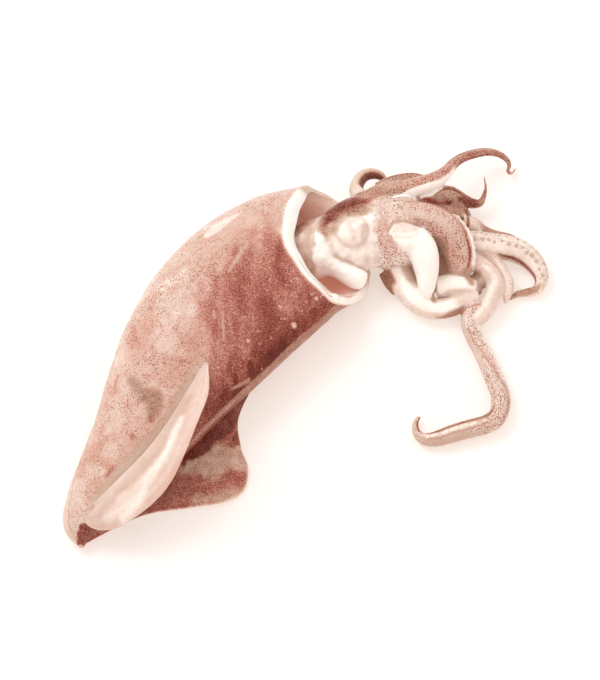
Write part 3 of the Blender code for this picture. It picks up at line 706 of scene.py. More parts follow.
def mantle_masks(distance, degrees, points):
    """Pigment, brown, spots and pale specks of the mantle's outer skin."""
    wobble = 4 * noise(points, 14, 3) + 4 * noise(points * [1, 0.4, 1], 4, 4)
    into = degrees - np.interp(distance, *zip(*RED_BORDER)) + wobble
    ragged = into + 9 * noise(points * [1, 0.3, 0.7], 3.2, 19) + 7 * noise(points, 9, 18)
    red = smooth(-16, 14, ragged) ** 1.5
    clouds = smooth(0.05, 0.55, noise(points, 11, 30) + 0.5 * noise(points, 4, 31))
    ground = 0.36 + 0.05 * noise(points, 24, 6) + 0.05 * noise(points, 8, 7) + 0.04 * noise(points, 3.5, 20)
    ground = ground - 0.11 * clouds
    ground = ground + 0.05 * bump(distance, 120, 40) * smooth(40, 75, degrees)
    ground = ground - 0.04 * smooth(50, 25, degrees)
    streaks = noise(points * [1, 0.22, 0.5], 2.4, 8) + 0.5 * noise(points * [1, 0.25, 0.5], 1.2, 32)
    redness = 0.61 + 0.05 * noise(points, 12, 9) + 0.06 * streaks + 0.04 * smooth(120, 150, degrees)
    pigment = ground + red * (redness - ground)
    # the darkest belt along the lower side, partly the skin's own darker red and partly painted shade where
    # the side turns away from the light, ending in a tan edge where the skin turns under
    low = smooth(128, 158, degrees + 6 * noise(points, 9, 5) + 5 * streaks)
    belt = low * (0.4 + 0.6 * smooth(70, 100, distance)) * (1 - 0.55 * smooth(135, 165, distance))
    pigment = pigment + 0.30 * belt * red
    turned = smooth(163, 167, degrees + 2.0 * noise(points, 7, 9))
    turned = turned * (1 - 0.75 * smooth(173, 177, degrees) * smooth(120, 90, distance))
    edge_tone = 0.56 + 0.06 * noise(points, 5, 10)
    pigment = pigment * (1 - turned) + turned * edge_tone
    below = np.maximum(smooth(182, 222, degrees + 8 * noise(points, 12, 28)), smooth(-22, -70, degrees))
    pigment = pigment * (1 - below) + below * (0.54 + 0.07 * noise(points, 8, 29))
    brown = 0.22 - 0.12 * red + 0.66 * turned * (1 - 0.5 * below)
    # the tail's near side is pale and plain; its tip is dark
    plain_edge = np.interp(distance, *zip(*PLAIN_TAIL_BORDER))
    plain = 0.8 * smooth(5, -5, degrees - plain_edge) * smooth(41, 33, distance) * smooth(2, 7, distance)
    line = bump(degrees - plain_edge, 2, 3) * smooth(41, 33, distance)
    pigment = pigment * (1 - plain) + 0.24 * plain + 0.09 * line
    density = 0.75 + 0.35 * noise(points, 16, 15) + 0.25 * noise(points, 6, 16)
    spots = 1.1 * density * (1 - 0.55 * red) * (1 - 0.8 * plain) * (0.65 + 0.35 * smooth(30, 110, distance))
    specks = red * (1 - turned) * (0.55 + 0.45 * low)
    return full_masks(pigment.shape, pigment=pigment, brown=np.clip(brown, 0, 1),
                      spots=np.clip(spots, 0, 2), specks=specks)


def mantle_outside(angle, degrees, rim):
    """The outer skin from tail to rim: a grid of points and its masks."""
    distance = np.linspace(0, 1, MANTLE_ALONG)[:, None] ** 1.08 * rim
    outer = PATH.wall(distance, angle)
    normal = grid_normals(outer, wrap=True)
    centre = outer.mean(1, keepdims=True)
    normal = normal * np.sign((normal * (outer - centre)).sum(-1, keepdims=True))
    relief = 0.75 * noise(outer, 26, 1) + 0.3 * noise(outer, 10, 2) + 0.10 * noise(outer, 3.5, 12)
    masks = mantle_masks(distance, degrees + 0 * distance, outer)
    upper = ((degrees > 5) & (degrees < 178)).astype(float)
    relief = relief + paint(outer, masks, MANTLE_STROKES, upper)
    for x, y, radius in PALE_DISCS:
        disc = smooth(radius + 0.5, radius - 0.4, np.hypot(outer[..., 0] - x, outer[..., 1] - y)) * upper
        masks["pigment"] = masks["pigment"] + (0.26 - masks["pigment"]) * disc
        masks["specks"] = masks["specks"] * (1 - disc)
    outer = outer + normal * (relief * smooth(0, 12, distance))[..., None]
    outer[..., 2] = on_table(outer[..., 2] - 0.3, 0.6)
    masks["white"] = smooth(2.4, 0.2, rim - distance) * rim_whiteness(degrees)
    return outer, masks


def mantle_lip(angle, degrees, rim):
    """The cut edge, rounded from the outer skin over to the hollow, with a fine split in it."""
    q = np.linspace(0, 1, RIM_ROWS + 2)[1:-1, None]
    ring = np.stack([np.cos(angle) * 30 + 0 * q, np.sin(angle) * 30 + 0 * q, 0 * angle + 9 * q], -1)
    nub = 1.7 * bump(degrees, 159, 5) * np.sin(math.pi * q)
    swell = nub + 0.08 * WALL * np.sin(math.pi * q) * (1 + 0.6 * noise(ring, 6, 13))
    swell = swell + 0.25 * noise(ring, 2.4, 24)
    inset = WALL * 0.5 * (1 - np.cos(math.pi * q))
    lip = PATH.wall(rim + cut_slant(angle) * q + swell, angle, inset)
    split = 0.36 + 0.12 * noise(ring, 9, 25)
    line = bump(q, split, 0.09) * smooth(98, 112, degrees) * smooth(158, 152, degrees)
    inner_half = smooth(0.52, 0.66, q + 0.08 * noise(ring, 7, 26))
    inner_half = inner_half * smooth(120, 140, degrees) * smooth(205, 190, degrees)
    pale = rim_whiteness(degrees)
    tone = 0.04 + 0.24 * (1 - pale) + 0.38 * line + 0.22 * inner_half
    white = (1 - 0.9 * line) * (1 - inner_half) * pale
    return lip, full_masks(line.shape, pigment=tone, brown=0.75 - 0.3 * pale, white=white)


def mantle_inside(angle, degrees, rim):
    """The hollow's wall, from the cut's inner edge to its rounded end."""
    g = np.linspace(0, 1, CAVITY_ROWS)[:, None]
    inner_rim = rim + cut_slant(angle)
    inner_at = inner_rim * (1 - g) + (PATH.mouth - CAVITY_DEPTH) * g
    turn = np.linspace(0, 0.5 * math.pi, CAVITY_END_ROWS + 2)[1:-1, None]
    end_at = PATH.mouth - CAVITY_DEPTH - CAVITY_END_LENGTH * np.sin(turn)
    inside = np.concatenate([PATH.wall(inner_at, angle, WALL), PATH.wall(end_at, angle, WALL, np.cos(turn))])
    depth = np.concatenate([inner_rim - inner_at, CAVITY_DEPTH + 0 * turn + 0 * angle])
    funnel_side = smooth(150, 185, degrees) * smooth(300, 260, degrees)
    # Painted shade: the wall darkens with depth into the hollow, a little less on the funnel side, which is
    # also redder. The painted_glow mask gives the wall a painted glow for light through it.
    tone = 0.10 + smooth(3, 22, depth) * (0.42 - 0.08 * funnel_side) + 0.03 * noise(inside, 7, 14)
    white = 0.7 * smooth(3, 0, depth) * rim_whiteness(degrees)
    masks = full_masks(depth.shape, pigment=tone, brown=0.7 - 0.5 * funnel_side, white=white)
    masks["painted_glow"] = smooth(1, 13, depth) * (0.52 + 0.24 * funnel_side)
    return inside, masks


def end_fans(rows, columns):
    """Fans of quads that close the two ends of a wrapped grid, round the two points stored after it."""
    j = np.arange(0, columns, 2)
    last = (rows - 1) * columns
    first_middle = np.full(j.shape, rows * columns)
    fan_first = np.stack([first_middle, j, (j + 1) % columns, (j + 2) % columns], -1)
    fan_last = np.stack([first_middle + 1, last + (j + 2) % columns, last + (j + 1) % columns, last + j], -1)
    return np.concatenate([fan_first, fan_last])


def make_mantle(material):
    """One closed sheet: outer skin, lip and hollow, with the tail and the hollow's end closed."""
    angle = np.linspace(0, 2 * math.pi, MANTLE_AROUND, endpoint=False)[None, :]
    degrees = np.degrees(angle)
    degrees = np.where(degrees > 270, degrees - 360, degrees)  # the seam lies on the table
    rim = PATH.mouth + rim_offset(angle)
    parts = [make(angle, degrees, rim) for make in (mantle_outside, mantle_lip, mantle_inside)]
    grid = np.concatenate([points for points, _ in parts])
    points = np.concatenate([grid.reshape(-1, 3), [grid[0].mean(0), grid[-1].mean(0)]])
    size = (len(grid), MANTLE_AROUND)
    faces = np.concatenate([grid_faces(*size, wrap=True), end_fans(*size)])
    values = {}
    for key in (*MASKS, "painted_glow"):
        flat = np.concatenate([(np.zeros(part.shape[:2]) + masks.get(key, 0)).ravel()
                               for part, masks in parts])
        values[key] = np.concatenate([flat, [flat[0], flat[-1]]])
    return make_mesh("mantle", points, faces, values, material)


# ---- fins


def slab_faces(rows, columns):
    """Faces of a sheet with two sides, whose grids of points are stored one after the other."""
    count = rows * columns
    top = grid_faces(rows, columns)
    ring = np.concatenate([
        np.arange(columns), np.arange(1, rows) * columns + columns - 1,
        (rows - 1) * columns + np.arange(columns - 2, -1, -1), np.arange(rows - 2, 0, -1) * columns])
    after = np.roll(ring, -1)
    sides = np.stack([ring, after, after + count, ring + count], -1)
    return np.concatenate([top, top[:, ::-1] + count, sides])


def make_fin(name, root, edge, shape, colour, material):
    """A sheet from root line to free edge. shape(t, f) lifts it; colour(t, f, points, on_top) paints it."""
    t = np.linspace(0, 1, FIN_ALONG)[:, None]
    f = np.linspace(0, 1, FIN_ACROSS)[None, :]
    a, b = spline(root, t[:, 0])[:, None, :], spline(edge, t[:, 0])[:, None, :]
    middle = a + (b - a) * f[..., None]
    lift, wave = shape(t, f)
    middle[..., 2] += lift
    normal = grid_normals(middle)
    normal = normal * np.where(normal[..., 2:3].mean() < 0, -1, 1)
    middle = middle + normal * wave[..., None]
    thick = 0.5 * (FIN_ROOT_THICKNESS + (FIN_EDGE_THICKNESS - FIN_ROOT_THICKNESS) * f ** 0.8)
    rounding = np.sqrt(np.clip(1 - smooth(0.0, 1.0, (f - 0.965) / 0.035) ** 2, 0.02, 1))
    ends = np.sqrt(np.clip(np.minimum(t, 1 - t) / 0.02, 0.05, 1))
    thick = (thick * rounding * ends)[..., None]
    top, under = middle + normal * thick, middle - normal * thick
    for sheet in (top, under):
        sheet[..., 2] = on_table(sheet[..., 2], 0.25)
    under[..., 2] = np.minimum(under[..., 2], top[..., 2] - 0.12)
    points = np.concatenate([top.reshape(-1, 3), under.reshape(-1, 3)])
    on_top, beneath = colour(t, f, top, True), colour(t, f, under, False)
    masks = {key: np.concatenate([on_top[key].ravel(), beneath[key].ravel()]) for key in MASKS}
    item = make_mesh(name, points, slab_faces(FIN_ALONG, FIN_ACROSS), masks, material)
    face_outwards(item)
    return item


def near_fin_shape(t, f):
    """The raised fin arches and has long folds and a rippled edge."""
    lift = 2.0 * np.sin(math.pi * f) * np.sin(math.pi * t)
    folds = 0.45 * bump(f, 0.55 - 0.2 * t, 0.12) + 0.3 * bump(f, 0.86 - 0.1 * t, 0.09)
    folds = folds - 0.3 * bump(f, 0.72 - 0.2 * t, 0.09)
    ripple = 0.6 * f ** 2 * np.sin(2 * math.pi * (3.2 * t + 0.2 * f)) + 0.3 * f ** 2 * np.sin(31 * t)
    return lift, (folds + ripple) * np.sin(math.pi * np.clip(t, 0, 1)) ** 0.5


def near_fin_colour(t, f, points, on_top):
    """Pale above, with a tan stroke of painted shade along the root fold and white strokes of painted
    highlight along the ridges; dark and dotted beneath.
    """
    shape = points.shape[:-1]
    if not on_top:
        return full_masks(shape, pigment=0.72 + 0.08 * noise(points, 9, 23), brown=0.2, spots=0.4, specks=0.5)
    streak = noise(np.stack(np.broadcast_arrays(40.0 * f, 9.0 * t, 0.0 * t), -1), 4, 22)
    pigment = 0.27 + 0.04 * noise(points, 12, 21) + 0.05 * streak
    masks = full_masks(shape, pigment=pigment, brown=0.15, spots=0.02)
    paint(points, masks, NEAR_FIN_STROKES)
    return masks


def far_fin_shape(t, f):
    """The flat fin lies on the table with a slight ripple."""
    lift = 0.8 * np.sin(math.pi * f) * np.sin(math.pi * t)
    ripple = 0.45 * f * np.sin(19 * t + 3 * f) + 0.3 * f * np.sin(37 * t)
    return lift, ripple * np.sin(math.pi * t) ** 0.5


def far_fin_colour(t, f, points, on_top):
    """Dark red above with ragged tan bars, a pale edge and a dark stroke of painted shadow under the near
    fin; plain beneath.
    """
    shape = points.shape[:-1]
    if not on_top:
        return full_masks(shape, pigment=0.2, brown=0.3)
    mottle = noise(points, 7, 31) + 0.6 * noise(points, 3, 32)
    masks = full_masks(shape, pigment=0.67 + 0.03 * mottle, brown=0.25, spots=0.1, specks=0.3)
    shift = np.stack([mottle, noise(points, 5, 34) + 0.6 * noise(points, 2, 35), np.zeros(shape)], -1)
    paint(points + 2.0 * shift, masks, FAR_FIN_STROKES)
    masks["pigment"] = masks["pigment"] + 0.08 * noise(points, 2.4, 33)
    masks["pigment"] = masks["pigment"] * (1 - 0.55 * smooth(0.955, 0.985, f))
    return masks


# ---- head and its limbs


def frames_along(points):
    """Unit tangents, ups and right-hand sides along a row of points."""
    tangent = np.gradient(points, axis=0)
    tangent /= np.linalg.norm(tangent, axis=1, keepdims=True) + 1e-9
    up = np.array([0, 0, 1.0]) - tangent * tangent[:, 2:3]
    up /= np.linalg.norm(up, axis=1, keepdims=True) + 1e-9
    return tangent, up, np.cross(tangent, up)


def sample_limb(stations, step=LIMB_STEP):
    """Evenly spaced rows (x, y, z, radius) along a limb, and their distances from its root."""
    fine = spline(stations, np.linspace(0, 1, 2001))
    travelled = np.concatenate([[0], np.cumsum(np.linalg.norm(np.diff(fine[:, :3], axis=0), axis=1))])
    count = max(8, int(travelled[-1] / step))
    at = np.linspace(0, travelled[-1], count + 1)
    rows = np.stack([np.interp(at, travelled, fine[:, k]) for k in range(4)], -1)
    kernel = np.array([1, 2, 3, 2, 1]) / 9
    for k in range(4):
        padded = np.concatenate([[rows[0, k]] * 2, rows[:, k], [rows[-1, k]] * 2])
        rows[1:-1, k] = np.convolve(padded, kernel, "valid")[1:-1]
    return rows, at


def limb_surface(stations, skin, bands, seed=0):
    """A limb's surface as a grid of points, with its masks."""
    rows, at = sample_limb(stations)
    tangent, up, right = frames_along(rows[:, :3])
    psi = np.linspace(-180, 180, LIMB_AROUND, endpoint=False)[None, :]
    along = (at / at[-1])[:, None]
    wobble = 3 * noise(np.stack([at, 0 * at, 0 * at], -1), 5, seed)[:, None]
    section = np.ones((len(rows), LIMB_AROUND))
    root, tip, brown, spots = skin
    masks = full_masks(section.shape, pigment=root + (tip - root) * along, brown=brown, spots=spots,
                       white=0.6 if skin is WHITE_SKIN else 0)
    for angle, half, start, end, pigment, band_brown, band_spots, relief in bands:
        length = max(end - start, 1e-3)
        grow = smooth(start - 0.02, start + 0.35 * length, along) ** 0.5
        fall = smooth(end + 0.03, end - 0.12 * length, along)
        width = half * np.maximum(grow, 0.05)
        soft = 2.5 + 0.16 * half
        apart = np.abs((psi - angle + wobble + 180) % 360 - 180)
        share = smooth(width + soft, width - soft, apart) * (grow > 0.02) * fall * smooth(0, 0.1, grow)
        tint(masks, share, pigment, band_brown, band_spots)
        scallop = 0.62 + 0.38 * np.abs(np.sin(math.pi * at[:, None] / 3.2)) if relief > 0.1 else 1.0
        section = section + relief * share * scallop
    surface = (rows[:, None, :3] + (rows[:, 3:4] * section)[..., None]
               * (np.cos(np.radians(psi))[..., None] * up[:, None, :]
                  + np.sin(np.radians(psi))[..., None] * right[:, None, :]))
    surface[..., 2] = on_table(surface[..., 2], 0.5)
    mottle = noise(surface, 6, 39 + seed) + 0.5 * noise(surface, 2.5, 40)
    masks["pigment"] = masks["pigment"] + 0.04 * mottle
    return surface, masks


def closed_tube(surface, masks, store):
    """Adds a tube with both ends closed by their middle points to the store of loose forms."""
    rows, columns = surface.shape[:2]
    first = store["count"]
    middles = np.stack([surface[0].mean(0), surface[-1].mean(0)])
    store["points"].append(np.concatenate([surface.reshape(-1, 3), middles]))
    store["quads"].append(grid_faces(rows, columns, wrap=True) + first)
    j = np.arange(columns)
    last = first + (rows - 1) * columns
    ends = first + rows * columns
    store["triangles"].append(np.stack([np.full(columns, ends), first + j, first + (j + 1) % columns], -1))
    store["triangles"].append(np.stack([np.full(columns, ends + 1), last + (j + 1) % columns, last + j], -1))
    for key, values in masks.items():
        flat = values.ravel()
        store["masks"].setdefault(key, []).append(np.concatenate([flat, [flat[0], flat[-1]]]))
    store["count"] += rows * columns + 2


def ellipsoid_surface(centre, sizes, heading, rows=60, columns=80):
    """An ellipsoid turned by its heading, pressed flat where it meets the table."""
    polar = np.linspace(0.01, math.pi - 0.01, rows)[:, None]
    around = np.linspace(0, 2 * math.pi, columns, endpoint=False)[None, :]
    x = sizes[0] * np.sin(polar) * np.cos(around)
    y = sizes[1] * np.sin(polar) * np.sin(around)
    z = sizes[2] * np.cos(polar) + 0 * around
    turn = math.radians(heading)
    surface = np.stack([centre[0] + x * math.cos(turn) - y * math.sin(turn),
                        centre[1] + x * math.sin(turn) + y * math.cos(turn), centre[2] + z], -1)
    surface[..., 2] = on_table(surface[..., 2], 0.5)
    return surface


def gather_forms():
    """All the closed forms of the head and the limbs, with their masks, before they are united."""
    store = dict(points=[], quads=[], triangles=[], masks={}, count=0)
    closed_tube(*limb_surface(NECK, NECK_SKIN, []), store)
    rounds = [(HEAD, HEAD_SKIN), (CROWN, CROWN_SKIN)]
    rounds += [((centre, (radius,) * 3, 0, 30, 40), EYE_SKIN) for centre, radius in EYES]
    for form, look in rounds:
        surface = ellipsoid_surface(*form)
        closed_tube(surface, full_masks(surface.shape[:2], **look), store)
    closed_tube(*limb_surface(FUNNEL, WHITE_SKIN, []), store)
    for seed, (name, stations) in enumerate(ARMS.items()):
        closed_tube(*limb_surface(stations, LIMBS[name]["skin"], LIMBS[name]["bands"], seed), store)
    return store


def neighbour_mean(values, edges, count):
    """The mean over each vertex's neighbours; count says how many each one has."""
    a, b = edges[:, 0], edges[:, 1]
    total = np.stack([np.bincount(a, values[b, k], len(values)) + np.bincount(b, values[a, k], len(values))
                      for k in range(values.shape[1])], -1)
    return total / count[:, None]


def smooth_mesh(points, edges, count, extra):
    """Taubin smoothing of the whole, then plain smoothing where extra is near 1."""
    for i in range(SMOOTHING_PASSES * 2):
        step = 0.55 if i % 2 == 0 else -0.57
        points = points + step * (neighbour_mean(points, edges, count) - points)
    for i in range(HEAD_BLEND_PASSES):
        points = points + 0.6 * extra[:, None] * (neighbour_mean(points, edges, count) - points)
    return points


def smooth_masks(masks, edges, count, extra):
    """Softens the masks a little everywhere, and further where extra is near 1."""
    values = np.stack(list(masks.values()), -1)
    for i in range(MASK_BLEND_PASSES):
        share = 0.5 * (extra if i > 1 else np.ones(len(values)))[:, None]
        values = values + share * (neighbour_mean(values, edges, count) - values)
    return {key: values[:, i] for i, key in enumerate(masks)}


def unite_forms(store, points):
    """An object whose mesh is one skin round all the loose forms."""
    draft = bpy.data.meshes.new("forms")
    faces = [tuple(q) for q in np.concatenate(store["quads"]).tolist()]
    faces += [tuple(q) for q in np.concatenate(store["triangles"]).tolist()]
    draft.from_pydata((points * MM).tolist(), [], faces)
    item = bpy.data.objects.new("head_and_arms", draft)
    bpy.context.scene.collection.objects.link(item)
    face_outwards(item)
    remesh = item.modifiers.new("unite", "REMESH")
    remesh.mode = "VOXEL"
    remesh.voxel_size = VOXEL * MM
    evaluated = item.evaluated_get(bpy.context.evaluated_depsgraph_get())
    mesh = bpy.data.meshes.new_from_object(evaluated)
    item.modifiers.clear()
    item.data = mesh
    bpy.data.meshes.remove(draft)
    return item


def nearest_masks(store, points, where):
    """For each place, the masks of the nearest point of the loose forms."""
    tree = kdtree.KDTree(len(points))
    for i, p in enumerate(points.tolist()):
        tree.insert(p, i)
    tree.balance()
    nearest = np.array([tree.find(p)[1] for p in where.tolist()])
    return {key: np.concatenate(values)[nearest] for key, values in store["masks"].items()}


def read_mesh(mesh):
    """A mesh's points in millimetres and its edges."""
    where = np.empty(len(mesh.vertices) * 3, np.float32)
    mesh.vertices.foreach_get("co", where)
    edges = np.empty(len(mesh.edges) * 2, np.int32)
    mesh.edges.foreach_get("vertices", edges)
    return where.reshape(-1, 3).astype(float) / MM, edges.reshape(-1, 2)


def paint_head_and_limbs(where, normals, masks, flat, head_zone):
    """Paints the strokes where the surface faces up; returns how far they lift it."""
    height, upward = where[:, 2], normals[:, 2]
    facing = smooth(-0.25, 0.05, upward) * smooth(9, 14, height)
    near_head = smooth(6, 0, route_distance(flat, HEAD_ZONE, HEAD_ZONE_WIDTHS))
    lift = paint(where, masks, HEAD_STROKES, facing * near_head)
    lift = lift + 0.3 * noise(where, 3.2, 60) * head_zone * smooth(30, 14, where[:, 0])
    masks["pigment"] = masks["pigment"] + 0.10 * noise(where, 3.0, 61) * head_zone * facing
    for *stroke, low, high in LIMB_STROKES:
        level = smooth(low - 1, low + 1, height) * smooth(high + 1, high - 1, height)
        lift = lift + paint(where, masks, [stroke], level * smooth(-0.2, 0.1, upward))
    return lift


def make_head_and_arms(material):
    """Neck, head, funnel, arms and tentacles, melted into one skin and painted."""
    store = gather_forms()
    points = np.concatenate(store["points"])
    item = unite_forms(store, points)
    mesh = item.data
    where, edges = read_mesh(mesh)
    masks = nearest_masks(store, points, where)
    flat = where[:, :2]
    head_zone = smooth(4, -3, route_distance(flat, HEAD_ZONE, HEAD_ZONE_WIDTHS))
    blend = head_zone * smooth(10, 15, where[:, 2])
    count = np.maximum(np.bincount(edges.ravel(), minlength=len(where)), 1)
    where = smooth_mesh(where, edges, count, blend)
    masks = smooth_masks(masks, edges, count, blend)
    set_points(mesh, where)
    normals = np.empty(len(where) * 3, np.float32)
    mesh.vertex_normals.foreach_get("vector", normals)
    normals = normals.reshape(-1, 3).astype(float)
    lift = paint_head_and_limbs(where, normals, masks, flat, head_zone)
    set_points(mesh, where + normals * lift[:, None])
    mesh.materials.clear()
    mesh.materials.append(material)
    set_masks(mesh, masks)
    mesh.shade_smooth()
    return item


# ---- suckers


def sucker_places(rows, at, first, last, spacing):
    """Indices of the rows at which a limb's suckers sit, a little unevenly spaced."""
    places = []
    for k, place in enumerate(np.arange(first * at[-1], last * at[-1], spacing)):
        uneven = place + 0.15 * spacing * math.sin(5.1 * k)
        places.append(min(int(np.searchsorted(at, uneven)), len(rows) - 1))
    return places


def make_suckers(material):
    """Every sucker as a small cup of mesh, all in one piece."""
    profile = np.array(CUP)
    around = np.linspace(0, 2 * math.pi, SUCKER_AROUND, endpoint=False)
    points, faces, masks = [], [], []
    for name, angle, first, last, spacing, size, tone, reach in SUCKER_ROWS:
        rows, at = sample_limb(ARMS[name], SUCKER_STEP)
        tangent, up, right = frames_along(rows[:, :3])
        tones = np.interp(np.arange(len(profile)), [0, 3, 5, 8], [tone * 0.7, tone, tone * 0.6, tone + 0.25])
        for k, i in enumerate(sucker_places(rows, at, first, last, spacing)):
            turn = math.radians(angle + 6 * math.sin(2.4 * k))
            out = math.cos(turn) * up[i] + math.sin(turn) * right[i]
            across = np.cross(tangent[i], out)
            scale = size * min(1, rows[i, 3] / 4.5) ** 0.6 * (1 + 0.2 * math.sin(1.7 * k))
            centre = rows[i, :3] + out * (rows[i, 3] * reach - 0.25 * scale)
            if centre[2] < scale:
                continue
            ring = (centre + out * (profile[:, 1:2, None] * scale)
                    + (profile[:, 0:1, None] * scale) * (np.cos(around)[None, :, None] * tangent[i]
                                                        + np.sin(around)[None, :, None] * across))
            faces.append(grid_faces(len(profile), SUCKER_AROUND, wrap=True) + len(points) * ring.size // 3)
            points.append(ring.reshape(-1, 3))
            masks.append(np.repeat(tones, SUCKER_AROUND))
    points, faces, pigment = np.concatenate(points), np.concatenate(faces), np.concatenate(masks)
    looks = full_masks(pigment.shape, pigment=pigment, brown=0.3)
    return make_mesh("suckers", points, faces, looks, material)


# ---- materials


class Nodes:
    """Small helpers for building a node tree."""

    def __init__(self, name):
        self.material = bpy.data.materials.new(name)
        self.material.use_nodes = True
        self.tree = self.material.node_tree
        self.shader = self.tree.nodes["Principled BSDF"]

    def new(self, kind, **settings):
        node = self.tree.nodes.new(kind)
        for key, value in settings.items():
            setattr(node, key, value)
        return node

    def put(self, socket, value):
        if isinstance(value, bpy.types.NodeSocket):
            self.tree.links.new(value, socket)
        elif value is not None:
            socket.default_value = value

    def math(self, operation, a, b=None, c=None, clamp=False):
        node = self.new("ShaderNodeMath", operation=operation, use_clamp=clamp)
        for socket, value in zip(node.inputs, (a, b, c)):
            self.put(socket, value)
        return node.outputs[0]

    def mask(self, name):
        return self.new("ShaderNodeAttribute", attribute_name=name).outputs["Fac"]

    def step(self, value, low, high):
        node = self.new("ShaderNodeMapRange", interpolation_type="SMOOTHSTEP")
        for socket, item in zip(node.inputs, (value, low, high)):
            self.put(socket, item)
        return node.outputs[0]

    def noise(self, where, size, detail=3.0, roughness=0.6):
        node = self.new("ShaderNodeTexNoise")
        self.put(node.inputs["Vector"], where)
        node.inputs["Scale"].default_value = 1 / (size * MM)
        node.inputs["Detail"].default_value = detail
        node.inputs["Roughness"].default_value = roughness
        return node.outputs["Fac"]

    def cells(self, where, size, loose=1.0):
        node = self.new("ShaderNodeTexVoronoi")
        node.inputs["Randomness"].default_value = loose
        self.put(node.inputs["Vector"], where)
        node.inputs["Scale"].default_value = 1 / (size * MM)
        return node.outputs["Distance"], node.outputs["Color"]

    def ramp(self, value, stops):
        node = self.new("ShaderNodeValToRGB")
        elements = node.color_ramp.elements
        while len(elements) < len(stops):
            elements.new(0.5)
        for element, (place, colour) in zip(elements, stops):
            element.position = place
            element.color = colour
        self.put(node.inputs[0], value)
        return node.outputs[0]

    def mix(self, factor, a, b):
        node = self.new("ShaderNodeMix", data_type="RGBA")
        self.put(node.inputs[0], factor)
        self.put(node.inputs[6], a)
        self.put(node.inputs[7], b)
        return node.outputs[2]


def dots(n, where, size, small, large, edge=0.10, loose=1.0):
    """Round dots, about one to a cell of this size, of unequal radius (as parts of the cell)."""
    distance, colour = n.cells(where, size, loose)
    split = n.new("ShaderNodeSeparateColor")
    n.put(split.inputs[0], colour)
    radius = n.math("ADD", n.math("MULTIPLY", split.outputs[0], large - small), small)
    inside = n.math("SUBTRACT", radius, distance)
    return n.step(inside, 0.0, edge)


def skin_pigment(n, where, fine, large):
    """The pigment at each place, from the masks, mottling, dots and pale specks."""
    pigment, spots = n.mask("pigment"), n.mask("spots")
    mottle = n.math("SUBTRACT", n.noise(where, 3.0, 4.0, 0.65), 0.5)
    total = n.math("ADD", pigment, n.math("MULTIPLY", mottle, 0.16))
    grain = n.math("SUBTRACT", n.noise(where, 0.8, 1.5, 0.6), 0.5)
    grainy = n.math("MULTIPLY", n.step(pigment, 0.42, 0.60), 0.62)
    total = n.math("ADD", total, n.math("MULTIPLY", grain, n.math("ADD", grainy, 0.12)))
    patches = n.step(n.noise(where, 7.0, 2.0), 0.33, 0.62)
    strength = n.math("MULTIPLY", spots, n.math("ADD", n.math("MULTIPLY", patches, 0.50), 0.50))
    for dot, depth in ((fine, FINE_DOT_PIGMENT), (large, LARGE_DOT_PIGMENT)):
        share = n.math("MULTIPLY", n.math("MULTIPLY", dot, strength), DOT_WEIGHT, clamp=True)
        darker = n.math("MAXIMUM", n.math("SUBTRACT", depth, total), LEAST_DARKENING)
        total = n.math("ADD", total, n.math("MULTIPLY", darker, share))
    pale = n.math("MULTIPLY", dots(n, where, **PALE_SPECKS), n.mask("specks"))
    total = n.math("SUBTRACT", total, n.math("MULTIPLY", pale, SPECK_PALING))
    cleared = n.math("SUBTRACT", 1.0, n.math("MULTIPLY", n.mask("white"), WHITENING))
    return n.math("MULTIPLY", total, cleared, clamp=True)


def skin_relief(n, where):
    """Fine and wide bumps of the wet skin."""
    height = n.math("ADD", n.math("MULTIPLY", n.noise(where, 0.9, 3.0), 0.25), n.noise(where, 4.5, 3.0))
    node = n.new("ShaderNodeBump")
    node.inputs["Strength"].default_value = BUMP_STRENGTH
    node.inputs["Distance"].default_value = BUMP_HEIGHT
    n.put(node.inputs["Height"], height)
    return node.outputs[0]


def make_skin():
    n = Nodes("skin")
    where = n.new("ShaderNodeTexCoord").outputs["Object"]
    fine, large = dots(n, where, **FINE_DOTS), dots(n, where, **LARGE_DOTS)
    pigment = skin_pigment(n, where, fine, large)
    dotted = n.math("MULTIPLY", n.math("MAXIMUM", fine, large), n.mask("spots"))
    dot_brown = n.math("MULTIPLY", n.noise(where, 2.0, 1.0), 0.5)
    brown = n.math("ADD", n.mask("brown"), n.math("MULTIPLY", dot_brown, dotted), clamp=True)
    colour = n.mix(brown, n.ramp(pigment, RED_SKIN), n.ramp(pigment, BROWN_SKIN))
    gain = n.math("MULTIPLY", n.step(pigment, 0.30, 0.02), PALE_GAIN)
    level = n.new("ShaderNodeVectorMath", operation="SCALE")
    n.put(level.inputs[0], colour)
    n.put(level.inputs["Scale"], n.math("ADD", gain, LIGHT_LEVEL))
    for name, value in SKIN_SHADER.items():
        n.shader.inputs[name].default_value = value
    n.put(n.shader.inputs["Base Color"], level.outputs[0])
    # painted glow: the emission's strength is the painted_glow mask, so only the mantle's hollow glows
    n.put(n.shader.inputs["Emission Strength"], n.mask("painted_glow"))
    n.put(n.shader.inputs["Roughness"], n.math("ADD", 0.40, n.math("MULTIPLY", n.noise(where, 5.0), 0.16)))
    n.put(n.shader.inputs["Normal"], skin_relief(n, where))
    return n.material


# ---- stage


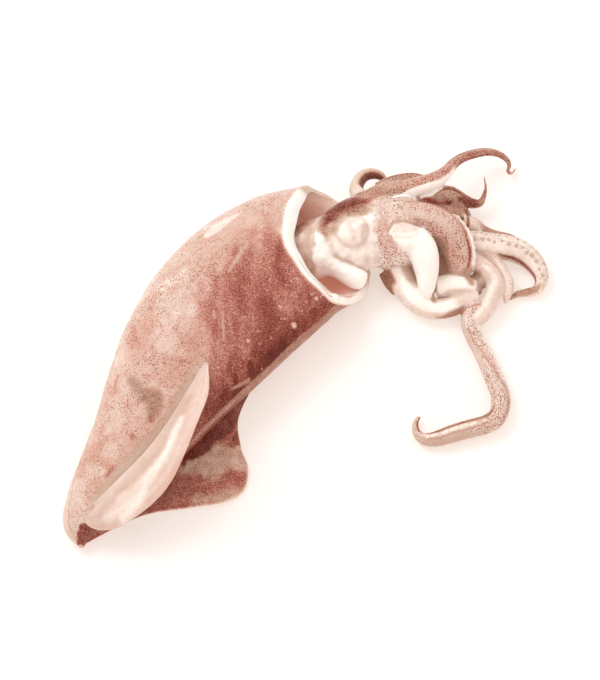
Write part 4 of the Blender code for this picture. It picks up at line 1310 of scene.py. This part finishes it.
def make_floor():
    """A white lit table, as wide as the view needs."""
    material = bpy.data.materials.new("floor")
    material.use_nodes = True
    shader = material.node_tree.nodes["Principled BSDF"]
    for name, value in FLOOR_SHADER.items():
        shader.inputs[name].default_value = value
    mesh = bpy.data.meshes.new("floor")
    corners = [(x * FLOOR_HALF_SIZE, y * FLOOR_HALF_SIZE, 0) for x, y in ((-1, -1), (1, -1), (1, 1), (-1, 1))]
    mesh.from_pydata(corners, [], [(0, 1, 2, 3)])
    floor = bpy.data.objects.new("floor", mesh)
    floor.location.z = -FLOOR_DEPTH
    mesh.materials.append(material)
    bpy.context.scene.collection.objects.link(floor)


def make_lights():
    """An even pale sky and one soft key light, aimed at the model's origin."""
    scene = bpy.context.scene
    scene.view_settings.view_transform = "Standard"
    scene.view_settings.look = "None"
    world = bpy.data.worlds.new("studio")
    scene.world = world
    world.use_nodes = True
    background = world.node_tree.nodes["Background"]
    for name, value in SKY.items():
        background.inputs[name].default_value = value
    data = bpy.data.lights.new("key", "AREA")
    for name, value in KEY_LIGHT.items():
        setattr(data, name, value)
    light = bpy.data.objects.new("key", data)
    light.location = KEY_LIGHT_PLACE
    light.rotation_euler = (-Vector(KEY_LIGHT_PLACE)).to_track_quat("-Z", "Y").to_euler()
    scene.collection.objects.link(light)


def make_camera():
    """The camera looks at the plan's zero point from the front and above."""
    data = bpy.data.cameras.new("camera")
    data.sensor_width = SENSOR
    data.lens = SENSOR * CAMERA_DISTANCE / VIEW_HEIGHT
    camera = bpy.data.objects.new("camera", data)
    lift = math.radians(CAMERA_ELEVATION)
    aim = -ORIGIN * MM
    camera.location = (aim[0], aim[1] - CAMERA_DISTANCE * math.cos(lift), CAMERA_DISTANCE * math.sin(lift))
    camera.rotation_euler = (math.radians(90) - lift, 0, 0)
    bpy.context.scene.collection.objects.link(camera)
    bpy.context.scene.camera = camera


def main():
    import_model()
    skin = make_skin()
    mantle = make_mantle(skin)
    near_fin = make_fin("near_fin", NEAR_FIN_ROOT, NEAR_FIN_EDGE, near_fin_shape, near_fin_colour, skin)
    far_fin = make_fin("far_fin", FAR_FIN_ROOT, FAR_FIN_EDGE, far_fin_shape, far_fin_colour, skin)
    head = make_head_and_arms(skin)
    suckers = make_suckers(skin)
    for piece in (mantle, near_fin, far_fin, head, suckers):
        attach(piece, "root")
    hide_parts("squid")
    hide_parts("squid")
    make_floor()
    make_lights()
    make_camera()


main()
